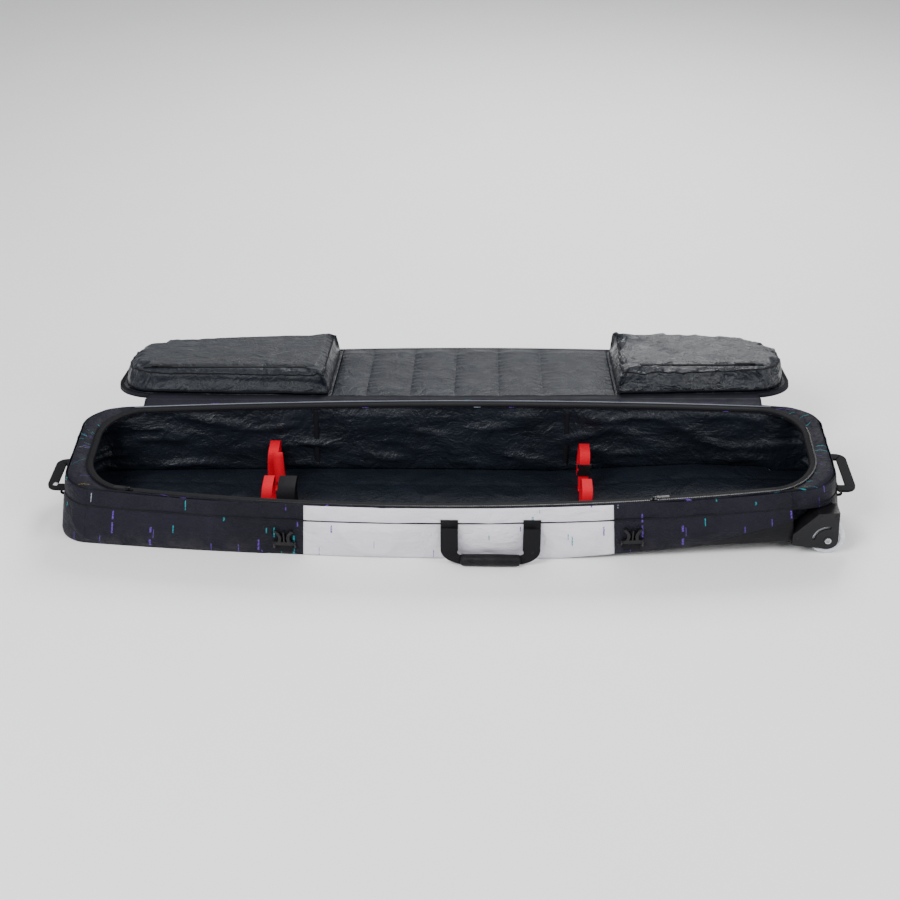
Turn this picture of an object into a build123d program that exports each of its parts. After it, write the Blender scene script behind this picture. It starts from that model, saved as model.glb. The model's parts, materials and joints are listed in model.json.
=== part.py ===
from build123d import *
import os
from math import atan2, cos, degrees, radians, sin, sqrt

# Wheeled double ski bag, lying open: a padded tub with its lid folded back behind it.
# X runs along the bag towards the wheels, Y from the front wall to the lid, Z up. Millimetres.

os.makedirs("parts", exist_ok=True)

# --- tub plan, at the floor, and how the walls lean per millimetre of height ---
BASE_HALF_LENGTH = 920
BASE_END_FRONT = 155
BASE_MID_FRONT = 212
BASE_END_BACK = 155
BASE_MID_BACK = 185
CORNER_RADIUS = 65
LEAN_LENGTH = -0.15
LEAN_END_FRONT = -0.03
LEAN_MID_FRONT = 0.16
LEAN_MID_BACK = 0.025
LOFT_HEIGHT = 260

# --- underside: flat, then lifted towards the wheels ---
LIFT_START = 250
LIFT_END = 600
LIFT = 30

# --- rim plane: passes through the top of the back wall ---
RIM_BACK_Y = 190
RIM_BACK_Z = 196
RIM_TILT = 6.0
RIM_ROLL = 0.7

# --- layers ---
SKIN = 2.0
FOAM = 6.0
LINING = 1.0
BOARD = 4.0
LAYER_GAP = 0.3
DECK = 6.0
SEAM_DROP = 45
PIPING = 3.0
PIPING_PROUD = 1.5

# --- seams between the coloured panels of the front wall ---
WHITE_LEFT = -332
WHITE_RIGHT = 380
END_SEAM = 855
KICK_START = 430
KICK_END = 800
KICK_RISE = 92

# --- opening and zip ---
OPENING_HALF_LENGTH = 842
OPENING_FRONT = 410
OPENING_FRONT_SAGITTA = 78
OPENING_BACK = 17
OPENING_BACK_SAGITTA = 31
OPENING_RADIUS = 95
TAPE_WIDTH = 16
TAPE = 1.0
COIL_WIDTH = 3.0
COIL_HEIGHT = 1.9
TUB_COIL_OFFSET = 12.2
ZIP_END_BACK = 70

# --- hinge and lid ---
HINGE_V = 8
HINGE_W = 2.3
OPEN_DROOP = 9.3
WELT_RADIUS = 1.9
WELT_HALF_LENGTH = 760
HINGE_CLEARANCE = 2.2
FLAP = 1.2
LID_OVERLAP = 9.5
LID_TAPE = 2.1
LID_LINING = 2.5
LID_COIL_OFFSET = 6.0
QUILT_PITCH = 110
QUILT_CENTRE = 5
QUILT_LINES = 5
QUILT_GROOVE = 1.2

# --- pouches on the lid ---
POUCH_INSET = 6
POUCH_SHIFT = 4
POUCH_FABRIC = 2.4
LEFT_POUCH = (-838, -305)
RIGHT_POUCH = (410, 838)
LEFT_POUCH_DEPTH = 56
RIGHT_POUCH_DEPTH = 60
LEFT_POUCH_ROUND = 18
RIGHT_POUCH_ROUND = 24
POUCH_ZIP_V = -78
POUCH_ZIP_MARGIN = 60

# --- webbing ---
WEBBING = 1.6
LID_STRAP_WIDTH = 38
LID_STRAP_X = (-378, 423)
LID_STRAP_FRONT = -392
LID_STRAP_BACK = -24

# --- carry handle, hanging on the front wall ---
ARM_X = (3, 192)
ARM_WIDTH = 40
ARM_THICK = 2.4
ARM_TOP_Y = -236
ARM_TOP_Z = 96
GRIP_RADIUS = 14
GRIP_LENGTH = 140
GRIP_Y = -240
GRIP_Z = 15.2
GRIP_STRAP = 20
GRIP_CLEARANCE = 0.4

# --- end handles ---
END_HANDLE_THICK = 5
END_HANDLE_BAND = 24
END_HANDLE_REACH = 42
LEFT_HANDLE = (88, 70, END_HANDLE_REACH, -1)
RIGHT_HANDLE = (116, 85, END_HANDLE_REACH, 1)
HANDLE_PIN = 3.0
HANDLE_PIN_CLEARANCE = 0.4
HANDLE_BEND = 16

# --- wheels ---
AXLE_X = 877
AXLE_Z = 42
WHEEL_Y = 160
WHEEL_RADIUS = 42
WHEEL_WIDTH = 28
TYRE_WALL = 12
TREAD_ROUND = 6
CORE_WIDTH = 24
BEARING_OUTER = 11
BEARING_WIDTH = 7
AXLE_RADIUS = 4.0
BEARING_CLEARANCE = 0.05
SEAT_GAP = 0.05
HUB_WINDOWS = 5
HUB_WINDOW_RADIUS = 4.5
HUB_WINDOW_PITCH = 20.5
CHEEK = 5
CHEEK_GAP = 3
WELL_RADIUS = 48
HOUSING_CLEARANCE = 1.0
AXLE_HOLE_CLEARANCE = 0.3
BOLT_HEAD_RADIUS = 7.5
BOLT_HEAD = 4.5
HEX_RECESS = 5
SLOT_RADIUS = 33
SLOT_WIDTH = 7.7
SLOT_START = 87
SLOT_SWEEP = 85
RIVET_RADIUS = 3.2
RIVET_HEAD = 1.6
RIVETS = ((858, 104), (892, 106), (806, 44))

# --- straps inside ---
STRAP_THICK = 2.0
RED_WIDTH = 25
BLACK_WIDTH = 42
LEFT_STRAP_X = -433
RIGHT_STRAP_X = 325
BLACK_STRAP_X = -388
BACK_LOOP = (66, 144)
FRONT_LOOP = (-76, 2)
BACK_LOOP_TOP = 120
FRONT_LOOP_TOP = 104
LOOP_ROUND = 24
BUCKLE_WIDTH = 34
BUCKLE_LENGTH = 30
BUCKLE_THICK = 8
BUCKLE_CLEARANCE = 0.5
BUCKLE_Z = 62

# --- compression buckles on the front wall ---
PRONG_LENGTH = 34
PRONG_WIDTH = 7
PRONG_SPREAD = 13
BUCKLE_BAR = 10
BUCKLE_BAR_LENGTH = 44
BUCKLE_DEPTH = 6
TAB_HEIGHT = 26
FRONT_BUCKLE_Z = 38
FRONT_BUCKLE_CLEARANCE = 1.8
FRONT_BUCKLE_HINGE = 2.0
SOCKET_LENGTH = 42
SOCKET_HEIGHT = 9
SOCKET_WALL = 2
SOCKET_BAR = 8
SOCKET_ROUND = 4
TAB_EAR = 4
BUCKLE_WAIST = 8
ANCHOR_TAB = 8
ANCHOR_DEPTH = 9
ANCHOR_GAP = 2
POUCH_PARK = 30

# --- zip sliders ---
SLIDER_LENGTH = 15
SLIDER_WALL = 1.5
SLIDER_CLEARANCE = 0.3
SLIDER_TOP = 2.0
BRIDGE_RADIUS = 1.2
BRIDGE_HEIGHT = 4.8
PULL_LENGTH = 36
PULL_WIDTH = 7
PULL_THICK = 2
PULL_EYE_CLEARANCE = 0.4
RIGHT_SLIDER_X = 465
LEFT_SLIDER_X = -735

FAR = 1200

# --- values that follow from those above ---
_t = radians(RIM_TILT)
_r = radians(RIM_ROLL)
RIM = Plane(
    origin=(0, RIM_BACK_Y, RIM_BACK_Z),
    x_dir=(cos(_r), 0, sin(_r)),
    z_dir=(-sin(_r) * cos(_t), -sin(_t), cos(_r) * cos(_t)),
)
HINGE_POINT = RIM.from_local_coords(Vector(0, HINGE_V, HINGE_W))
HINGE_AXIS = Axis(HINGE_POINT, RIM.x_dir)
OPEN_TURN = 180 + RIM_TILT + OPEN_DROOP
FOAM_OUT = SKIN + LAYER_GAP
LINING_OUT = FOAM_OUT + FOAM + LAYER_GAP
PAD_OUT = LINING_OUT + LINING + LAYER_GAP
BOARD_Z = SKIN + LAYER_GAP
PAD_Z = BOARD_Z + BOARD + LAYER_GAP
FLOOR_Z = PAD_Z + FOAM
WALL_TOP = -DECK - LAYER_GAP
CHEEK_IN = WHEEL_WIDTH / 2 + CHEEK_GAP
CHEEK_OUT = CHEEK_IN + CHEEK
ARC_RADIUS = (OPENING_HALF_LENGTH**2 + OPENING_FRONT_SAGITTA**2) / (2 * OPENING_FRONT_SAGITTA)
COIL_RADIUS = ARC_RADIUS + TUB_COIL_OFFSET + COIL_WIDTH / 2
LID_BASE = HINGE_W + (COIL_HEIGHT + TAPE - HINGE_W) + 0.7
LID_LINING_W = LID_BASE - 0.4
LID_FOAM_W = LID_BASE + LID_TAPE + LAYER_GAP
LID_TOP_W = LID_FOAM_W + FOAM + LAYER_GAP


def outline(half_length, end_front, mid_front, end_back, mid_back, radius):
    """Plan of the tub: bowed front and back, short straight ends, round corners."""
    front = ThreePointArc((-half_length, -end_front), (0, -mid_front), (half_length, -end_front))
    right = Line((half_length, -end_front), (half_length, end_back))
    back = ThreePointArc((half_length, end_back), (0, mid_back), (-half_length, end_back))
    left = Line((-half_length, end_back), (-half_length, -end_front))
    face = make_face([front, right, back, left])
    return fillet(face.vertices(), radius)


def tub_solid(inset):
    """The whole tub as a solid, its sides moved in by inset."""
    sections = []
    for z in (0, LOFT_HEIGHT):
        section = outline(
            BASE_HALF_LENGTH + LEAN_LENGTH * z - inset,
            BASE_END_FRONT + LEAN_END_FRONT * z - inset,
            BASE_MID_FRONT + LEAN_MID_FRONT * z - inset,
            BASE_END_BACK - inset,
            BASE_MID_BACK + LEAN_MID_BACK * z - inset,
            CORNER_RADIUS - inset,
        )
        sections.append(Pos(0, 0, z) * section)
    return loft(sections, ruled=True)


def above(z):
    """Everything above the lifted underside raised by z."""
    high = z + LIFT
    profile = Polyline(
        (-FAR, z), (LIFT_START, z), (LIFT_END, high), (FAR, high), (FAR, FAR), (-FAR, FAR), close=True
    )
    return extrude(Plane.XZ * make_face(profile), FAR / 2, both=True)


def below_rim(w):
    """Everything under the plane at height w over the rim."""
    return RIM.location * (Pos(0, -OPENING_FRONT / 2, w - FAR / 2) * Box(2 * FAR, FAR, FAR))


def span(low, high):
    """A slab across the bag between two lengthwise positions."""
    return Pos((low + high) / 2, 0, 0) * Box(high - low, FAR, FAR)


FRONT_HALF = Pos(0, -FAR / 2, 0) * Box(2 * FAR, FAR, FAR)


def opening_prism(grow, low, high):
    """The opening's plan grown by grow, between two heights over the rim, in rim coordinates."""
    half = OPENING_HALF_LENGTH
    front_end = OPENING_FRONT - OPENING_FRONT_SAGITTA
    back_end = OPENING_BACK + OPENING_BACK_SAGITTA
    front = ThreePointArc((-half, -front_end), (0, -OPENING_FRONT), (half, -front_end))
    right = Line((half, -front_end), (half, -back_end))
    back = ThreePointArc((half, -back_end), (0, -OPENING_BACK), (-half, -back_end))
    left = Line((-half, -back_end), (-half, -front_end))
    face = fillet(make_face([front, right, back, left]).vertices(), OPENING_RADIUS)
    if grow:
        face = offset(face, amount=grow)
    return Pos(0, 0, low) * extrude(face, high - low)


def ring(outer, inner, low, high):
    return opening_prism(outer, low, high) - opening_prism(inner, low - 1, high + 1)


def block(x0, x1, y0, y1, z0, z1):
    return Pos((x0 + x1) / 2, (y0 + y1) / 2, (z0 + z1) / 2) * Box(x1 - x0, y1 - y0, z1 - z0)


def on_rim(shape):
    return RIM.location * shape


def on_lid(shape):
    """Place a lid piece, drawn closed in rim coordinates, on the lid folded back."""
    return (RIM.location * shape).rotate(HINGE_AXIS, -OPEN_TURN)


def save(name, shape):
    shape.label = name
    export_step(shape, f"parts/{name}.step")


# ---------------------------------------------------------------- wheels


def wheel_plane(y):
    """A plane facing the front at distance y, centred on the axle."""
    return Plane(origin=(AXLE_X, y, AXLE_Z), x_dir=(1, 0, 0), z_dir=(0, -1, 0))


def housing_face(grow):
    """Side view of the wheel housing about the axle."""
    points = [(-81, -14), (-81, 14), (-27, 70), (21, 74), (24, 0)]
    sides = Polyline(*points)
    nose = ThreePointArc((24, 0), (17, -17), (0, -24))
    sole = Line((0, -24), (-42, -20))
    toe = Line((-42, -20), (-81, -14))
    face = make_face([*sides.edges(), nose, sole, toe])
    if grow:
        face = offset(face, amount=grow)
    return face


def housing_prism(grow, near, far):
    return extrude(wheel_plane(-far) * housing_face(grow), -(far - near))


def axle_rod(radius, near, far):
    return extrude(wheel_plane(-far) * Circle(radius), -(far - near))


def wheel_cut():
    """Room for both housings and wheels in the tub's corners."""
    near = WHEEL_Y - CHEEK_OUT - HOUSING_CLEARANCE
    room = housing_prism(HOUSING_CLEARANCE, near, WHEEL_Y + 100)
    room += axle_rod(WELL_RADIUS + HOUSING_CLEARANCE, near, WHEEL_Y + 100)
    room += axle_rod(BOLT_HEAD_RADIUS + HOUSING_CLEARANCE, near - BOLT_HEAD, near)
    return room + mirror(room, Plane.XZ)


def wheel_housing():
    """Moulded housing: two cheeks and a roof round the wheel, slotted on the outside."""
    body = housing_prism(0, WHEEL_Y - CHEEK_OUT, WHEEL_Y + CHEEK_OUT)
    body -= axle_rod(WELL_RADIUS, WHEEL_Y - CHEEK_IN, WHEEL_Y + CHEEK_IN)
    body -= axle_rod(AXLE_RADIUS + AXLE_HOLE_CLEARANCE, 0, FAR)
    arc = CenterArc((0, 0), SLOT_RADIUS, SLOT_START, SLOT_SWEEP)
    slot = SlotArc(arc, SLOT_WIDTH)
    body -= extrude(wheel_plane(-WHEEL_Y - FAR / 2) * slot, -FAR / 2)
    for head in rivets():
        body += head
    return body


def axle_bolt():
    """Bolt through both cheeks with a hex-socket head outside and a nut inside."""
    outer = WHEEL_Y + CHEEK_OUT
    inner = WHEEL_Y - CHEEK_OUT
    bolt = axle_rod(AXLE_RADIUS, inner - BOLT_HEAD, outer + BOLT_HEAD)
    bolt += axle_rod(BOLT_HEAD_RADIUS, outer, outer + BOLT_HEAD)
    recess = RegularPolygon(HEX_RECESS, 6)
    bolt -= extrude(wheel_plane(-outer - BOLT_HEAD) * recess, -BOLT_HEAD + 1)
    nut = RegularPolygon(BOLT_HEAD_RADIUS, 6)
    return bolt + extrude(wheel_plane(-inner) * nut, -BOLT_HEAD)


def rivets():
    """Domed rivet heads on the outer cheek."""
    face = WHEEL_Y + CHEEK_OUT
    heads = []
    for x, z in RIVETS:
        head = Cylinder(RIVET_RADIUS, RIVET_HEAD)
        head = chamfer(head.edges().group_by(Axis.Z)[-1], RIVET_HEAD / 2)
        heads.append(Pos(x, -face - RIVET_HEAD / 2, z) * Rot(90, 0, 0) * head)
    return heads


def tyre():
    half = WHEEL_WIDTH / 2
    outer = axle_rod(WHEEL_RADIUS, WHEEL_Y - half, WHEEL_Y + half)
    rims = outer.edges().filter_by(GeomType.CIRCLE)
    outer = fillet(rims, TREAD_ROUND)
    return outer - axle_rod(WHEEL_RADIUS - TYRE_WALL, 0, FAR)


def wheel_core():
    half = CORE_WIDTH / 2
    core = axle_rod(WHEEL_RADIUS - TYRE_WALL - SEAT_GAP, WHEEL_Y - half, WHEEL_Y + half)
    core -= axle_rod(BEARING_OUTER + SEAT_GAP, 0, FAR)
    for step in range(HUB_WINDOWS):
        turn = radians(360 * step / HUB_WINDOWS)
        place = wheel_plane(-WHEEL_Y - half) * Pos(
            HUB_WINDOW_PITCH * cos(turn), HUB_WINDOW_PITCH * sin(turn)
        )
        core -= extrude(place * Circle(HUB_WINDOW_RADIUS), -2 * half)
    return core


def bearing(side):
    low = WHEEL_Y - CORE_WIDTH / 2 if side < 0 else WHEEL_Y + CORE_WIDTH / 2 - BEARING_WIDTH
    race = axle_rod(BEARING_OUTER, low, low + BEARING_WIDTH)
    return race - axle_rod(AXLE_RADIUS + BEARING_CLEARANCE, 0, FAR)


def save_wheels():
    pieces = {
        "wheel_housing": wheel_housing(),
        "axle_bolt": axle_bolt(),
        "tyre": tyre(),
        "wheel_core": wheel_core(),
        "wheel_bearings": bearing(-1) + bearing(1),
    }
    for name, shape in pieces.items():
        save(f"front_{name}", shape)
        save(f"back_{name}", mirror(shape, Plane.XZ))


# ---------------------------------------------------------------- tub


def hinge_flange():
    """Hem of the back wall, ending in the welt the lid turns on."""
    flange = block(-WELT_HALF_LENGTH, WELT_HALF_LENGTH, -ZIP_END_BACK, HINGE_V, LAYER_GAP, FLAP)
    flange -= opening_prism(TAPE_WIDTH + LAYER_GAP, -FAR, FAR)
    welt = Pos(0, HINGE_V, HINGE_W) * Rot(0, 90, 0) * Cylinder(WELT_RADIUS, 2 * WELT_HALF_LENGTH)
    return on_rim(flange + welt)


def save_tub():
    cut = wheel_cut()
    over_floor = above(0)
    over_pad = above(PAD_Z)
    under_deck = below_rim(-DECK)
    whole = tub_solid(0)
    inside_skin = tub_solid(SKIN)
    inside_gap = tub_solid(FOAM_OUT)
    inside_pad = tub_solid(PAD_OUT)

    skin = ((whole - inside_skin) & over_floor & under_deck) - cut
    kick = extrude(
        Plane.XZ
        * make_face(
            Polyline(
                (KICK_START, -1),
                (KICK_END, KICK_RISE),
                (FAR, KICK_RISE),
                (FAR, -1),
                close=True,
            )
        ),
        FAR,
        both=True,
    )
    front_skin = skin & FRONT_HALF
    save("front_panel_left", front_skin & span(-END_SEAM, WHITE_LEFT))
    save("front_panel_centre", front_skin & span(WHITE_LEFT, WHITE_RIGHT))
    right_panel = front_skin & span(WHITE_RIGHT, END_SEAM)
    save("front_panel_right", right_panel - kick)
    save("front_kick_panel", right_panel & kick)
    back_skin = (skin - FRONT_HALF) & span(-END_SEAM, END_SEAM)
    save("back_panel", back_skin + hinge_flange())
    save("left_end_panel", (skin & span(-FAR, -END_SEAM)) + handle_anchor(*LEFT_HANDLE))
    save("right_end_panel", (skin & span(END_SEAM, FAR)) + handle_anchor(*RIGHT_HANDLE))

    foam = ((inside_gap - tub_solid(FOAM_OUT + FOAM)) & over_pad & below_rim(WALL_TOP)) - cut
    middle_foam = foam & span(-END_SEAM, END_SEAM)
    save("front_foam", middle_foam & FRONT_HALF)
    save("back_foam", middle_foam - FRONT_HALF)
    save("left_end_foam", foam & span(-FAR, -END_SEAM))
    save("right_end_foam", foam & span(END_SEAM, FAR))

    lining = tub_solid(LINING_OUT) - tub_solid(LINING_OUT + LINING)
    save("wall_lining", (lining & over_pad & below_rim(WALL_TOP)) - cut)
    save("bottom_panel", ((inside_gap & over_floor) - above(SKIN)) - cut)
    save("base_board", ((inside_gap & above(BOARD_Z)) - above(BOARD_Z + BOARD)) - cut)
    save("floor_pad", ((inside_pad & over_pad) - above(FLOOR_Z)) - cut)

    deck = (whole & below_rim(0)) - under_deck
    deck -= on_rim(opening_prism(0, -2 * DECK, DECK))
    save("rim_deck", deck)

    seam = (tub_solid(-PIPING_PROUD) - whole) & below_rim(-SEAM_DROP + PIPING / 2)
    seam = (seam - below_rim(-SEAM_DROP - PIPING / 2)) - cut
    save("seam_piping", seam)

    coil = ring(TUB_COIL_OFFSET + COIL_WIDTH, TUB_COIL_OFFSET, TAPE, TAPE + COIL_HEIGHT)
    coil -= block(-FAR, FAR, -ZIP_END_BACK, FAR, -FAR, FAR)
    save("tub_zip", on_rim(ring(TAPE_WIDTH, 0, 0, TAPE) + coil))


# ---------------------------------------------------------------- lid


def quilted_lining():
    """Inner face of the lid with crosswise stitch grooves in its middle section."""
    lining = opening_prism(-LAYER_GAP, LID_LINING_W, LID_LINING_W + LID_LINING)
    for step in range(QUILT_LINES):
        x = QUILT_CENTRE + QUILT_PITCH * (step - (QUILT_LINES - 1) / 2)
        groove = block(x - QUILT_GROOVE, x + QUILT_GROOVE, -FAR, FAR, -FAR, LID_LINING_W + QUILT_GROOVE)
        lining -= groove
    return lining


def lid_outer():
    """Outer sheet of the lid with its turned-down edge."""
    sheet = opening_prism(LID_OVERLAP, LID_TOP_W, LID_TOP_W + SKIN)
    return sheet + ring(LID_OVERLAP, LID_OVERLAP - SKIN + LAYER_GAP, LID_FOAM_W, LID_TOP_W)


def pouch(ends, depth, rounding):
    """Soft pouch stitched to the lid's lining, hollow, closed by the lining."""
    low, high = ends
    side = span(low, high)
    body = opening_prism(-POUCH_INSET, LID_LINING_W - depth, LID_LINING_W) & side
    body = fillet(body.edges().group_by(Axis.Z)[0], rounding)
    hollow = opening_prism(
        -POUCH_INSET - POUCH_FABRIC, LID_LINING_W - depth + POUCH_FABRIC, LID_LINING_W + POUCH_FABRIC
    )
    hollow &= span(low + POUCH_FABRIC, high - POUCH_FABRIC)
    hollow = fillet(hollow.edges().group_by(Axis.Z)[0], rounding - POUCH_FABRIC)
    return Pos(0, POUCH_SHIFT, 0) * (body - hollow)


def pouch_zip(ends, depth):
    low, high = ends
    w = LID_LINING_W - depth
    length = (low + POUCH_ZIP_MARGIN, high - POUCH_ZIP_MARGIN)
    return block(*length, POUCH_ZIP_V - COIL_WIDTH, POUCH_ZIP_V + COIL_WIDTH, w - TAPE, w)


def pouch_slider(ends, depth, side):
    """Slider plate and its flat pull on the pouch zip, parked at the end given by side."""
    top = LID_LINING_W - depth - TAPE - SLIDER_CLEARANCE
    x = (ends[0] + POUCH_ZIP_MARGIN if side < 0 else ends[1] - POUCH_ZIP_MARGIN) - side * POUCH_PARK
    half = SLIDER_LENGTH / 2
    width = SLIDER_LENGTH / 3
    plate = block(x - half, x + half, POUCH_ZIP_V - width, POUCH_ZIP_V + width, top - SLIDER_TOP, top)
    far = x - side * (half + PULL_LENGTH)
    near = x + side * half
    half_pull = PULL_WIDTH / 2
    pull = block(
        min(far, near),
        max(far, near),
        POUCH_ZIP_V - half_pull,
        POUCH_ZIP_V + half_pull,
        top - SLIDER_TOP - PULL_THICK,
        top - SLIDER_TOP,
    )
    return plate + pull


def lid_strap(x):
    w = LID_TOP_W + SKIN
    half = LID_STRAP_WIDTH / 2
    return block(x - half, x + half, LID_STRAP_FRONT, LID_STRAP_BACK, w, w + WEBBING)


def lid_buckle(x):
    """Receiving half of a side-release buckle, sewn on the lid strap's front end."""
    w = LID_TOP_W + SKIN + WEBBING
    half = BUCKLE_BAR_LENGTH / 2
    low = LID_STRAP_FRONT + LAYER_GAP
    shell = block(x - half, x + half, low, low + SOCKET_LENGTH, w, w + SOCKET_HEIGHT)
    shell = fillet(shell.edges().filter_by(Axis.Z), SOCKET_ROUND)
    mouth = block(
        x - half + SOCKET_WALL,
        x + half - SOCKET_WALL,
        low - 1,
        low + SOCKET_LENGTH - SOCKET_BAR,
        w + SOCKET_WALL,
        w + SOCKET_HEIGHT - SOCKET_WALL,
    )
    return shell - mouth


def save_lid():
    keep = block(-FAR, FAR, -FAR, HINGE_V - HINGE_CLEARANCE, -FAR, FAR)
    save("lid_lining", on_lid(quilted_lining()))
    foam = opening_prism(LID_OVERLAP - SKIN, LID_FOAM_W, LID_FOAM_W + FOAM)
    save("lid_foam", on_lid(foam & keep))
    save("lid_outer_panel", on_lid(lid_outer() & keep))
    tape = ring(LID_OVERLAP, 0, LID_BASE, LID_BASE + LID_TAPE)
    coil = ring(LID_COIL_OFFSET + COIL_WIDTH, LID_COIL_OFFSET, LID_BASE - COIL_HEIGHT, LID_BASE)
    coil -= block(-FAR, FAR, -ZIP_END_BACK, FAR, -FAR, FAR)
    flap_top = LID_BASE + FLAP - LAYER_GAP
    flap = block(
        -WELT_HALF_LENGTH, WELT_HALF_LENGTH, -ZIP_END_BACK, HINGE_V - HINGE_CLEARANCE, LID_BASE, flap_top
    )
    save("lid_zip", on_lid(tape + coil + (flap - opening_prism(LID_OVERLAP, -FAR, FAR))))
    for name, ends, depth, rounding, side in (
        ("left_pouch", LEFT_POUCH, LEFT_POUCH_DEPTH, LEFT_POUCH_ROUND, -1),
        ("right_pouch", RIGHT_POUCH, RIGHT_POUCH_DEPTH, RIGHT_POUCH_ROUND, 1),
    ):
        save(name, on_lid(pouch(ends, depth, rounding) + pouch_zip(ends, depth)))
        save(f"{name}_slider", on_lid(pouch_slider(ends, depth, side)))
    for name, x in zip(("left", "right"), LID_STRAP_X):
        save(f"lid_strap_{name}", on_lid(lid_strap(x)))
        save(f"lid_buckle_{name}", on_lid(lid_buckle(x)))


# ---------------------------------------------------------------- handles


def arm_plane():
    """Plane along the hanging arms, from the hinge down to the grip."""
    fall = Vector(0, GRIP_Y - ARM_TOP_Y, GRIP_Z - ARM_TOP_Z)
    return Plane(origin=(0, ARM_TOP_Y, ARM_TOP_Z), x_dir=(1, 0, 0), z_dir=Vector(1, 0, 0).cross(fall))


def carry_webbing():
    """One length of webbing: down one arm, through the grip, up the other."""
    reach = sqrt((GRIP_Y - ARM_TOP_Y) ** 2 + (GRIP_Z - ARM_TOP_Z) ** 2)
    left, right = ARM_X
    half = ARM_WIDTH / 2
    middle = (left + right) / 2
    inner = GRIP_LENGTH / 2 + 2
    band = GRIP_STRAP / 2
    shape = make_face(
        Polyline(
            (left - half, 0),
            (left + half, 0),
            (left + half, reach - 34),
            (middle - inner, reach - band),
            (middle + inner, reach - band),
            (right - half, reach - 34),
            (right - half, 0),
            (right + half, 0),
            (right + half, reach - 26),
            (middle + inner, reach + band),
            (middle - inner, reach + band),
            (left - half, reach - 26),
            close=True,
        )
    )
    return extrude(arm_plane() * shape, ARM_THICK / 2, both=True)


def carry_grip():
    """Padded tube round the middle of the handle webbing."""
    middle = sum(ARM_X) / 2
    tube = Cylinder(GRIP_RADIUS, GRIP_LENGTH)
    tube = fillet(tube.edges().filter_by(GeomType.CIRCLE), GRIP_RADIUS / 4)
    tube = Pos(middle, GRIP_Y, GRIP_Z) * Rot(0, 90, 0) * tube
    fall = arm_plane()
    slot = Box(
        GRIP_LENGTH + 2, GRIP_STRAP + 2 * GRIP_CLEARANCE, ARM_THICK + 2 * GRIP_CLEARANCE
    )
    place = Plane(origin=(middle, GRIP_Y, GRIP_Z), x_dir=(1, 0, 0), z_dir=fall.z_dir)
    return tube - place.location * slot


def handle_x(z, side):
    """Where an end handle's rod lies, just off the end wall."""
    return side * (BASE_HALF_LENGTH + LEAN_LENGTH * (z - HANDLE_PIN) + ANCHOR_DEPTH)


def end_handle(z, half, reach, side):
    """Flat webbing loop standing out from an end wall; side is -1 for the left end."""
    x = handle_x(z, side)
    band = END_HANDLE_BAND
    outer = Polyline((0, -half), (0, half), (reach - HANDLE_BEND, half), (reach, half - HANDLE_BEND),
                     (reach, HANDLE_BEND - half), (reach - HANDLE_BEND, -half), close=True)
    gap = half - band
    depth = reach - band
    inner = Polyline((-1, -gap), (-1, gap), (depth - HANDLE_BEND / 2, gap), (depth, gap - HANDLE_BEND),
                     (depth, HANDLE_BEND - gap), (depth - HANDLE_BEND / 2, -gap), close=True)
    loop = make_face(outer) - make_face(inner)
    body = extrude(loop, END_HANDLE_THICK / 2, both=True)
    pin_room = HANDLE_PIN + HANDLE_PIN_CLEARANCE
    for y in (-half + band / 2, half - band / 2):
        eye = Rot(90, 0, 0) * Cylinder(pin_room + 2, band)
        body += Pos(0, y, 0) * eye
    body -= Rot(90, 0, 0) * Cylinder(pin_room, FAR)
    return Pos(x, 0, z) * (Rot(0, 0, 180) * body if side < 0 else body)


def handle_anchor(z, half, reach, side):
    """Rod the handle's ends turn on, carried by three tabs that reach back to the wall."""
    x = handle_x(z, side)
    rod = Pos(x, 0, z) * Rot(90, 0, 0) * Cylinder(HANDLE_PIN, 2 * half + 2 * ANCHOR_TAB)
    depth = (ANCHOR_DEPTH + SKIN / 2) * side
    for y in (-half - ANCHOR_TAB / 2, 0, half + ANCHOR_TAB / 2):
        width = ANCHOR_TAB if y else 2 * (half - END_HANDLE_BAND - ANCHOR_GAP)
        tab = Box(abs(depth), width, 2 * HANDLE_PIN)
        rod += Pos(x - depth / 2, y, z) * tab
    return rod


def save_handles():
    save("carry_webbing", carry_webbing())
    save("carry_grip", carry_grip())
    save("left_handle", end_handle(*LEFT_HANDLE))
    save("right_handle", end_handle(*RIGHT_HANDLE))


# ---------------------------------------------------------------- straps and buckles


def floor_lift(x):
    """How far the underside is raised at a place along the bag."""
    return LIFT * max(0, min(1, (x - LIFT_START) / (LIFT_END - LIFT_START)))


def strap_loop(x, width, ends, top):
    """Webbing loop standing slumped on the floor pad."""
    near, far = ends
    base = FLOOR_Z + floor_lift(x + width / 2)
    outer = block(x - width / 2, x + width / 2, near, far, base, top)
    outer = fillet(outer.edges().filter_by(Axis.X).group_by(Axis.Z)[-1], LOOP_ROUND)
    inner = block(
        x - width, x + width, near + STRAP_THICK, far - STRAP_THICK, base + STRAP_THICK, top - STRAP_THICK
    )
    inner = fillet(inner.edges().filter_by(Axis.X).group_by(Axis.Z)[-1], LOOP_ROUND - STRAP_THICK)
    return outer - inner


def strap_buckle(x, y):
    """Side-release buckle body threaded on a strap, with waisted sides."""
    half = BUCKLE_WIDTH / 2
    body = block(
        x - half, x + half, y - BUCKLE_THICK / 2, y + BUCKLE_THICK / 2, BUCKLE_Z, BUCKLE_Z + BUCKLE_LENGTH
    )
    for side in (-1, 1):
        waist = Pos(x + side * (half + BUCKLE_WAIST / 2), y, BUCKLE_Z + BUCKLE_LENGTH / 2)
        body -= waist * Rot(90, 0, 0) * Cylinder(BUCKLE_WAIST, FAR)
    room = STRAP_THICK / 2 + BUCKLE_CLEARANCE
    side_room = RED_WIDTH / 2 + BUCKLE_CLEARANCE
    return body - block(x - side_room, x + side_room, y - room, y + room, 0, FAR)


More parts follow.
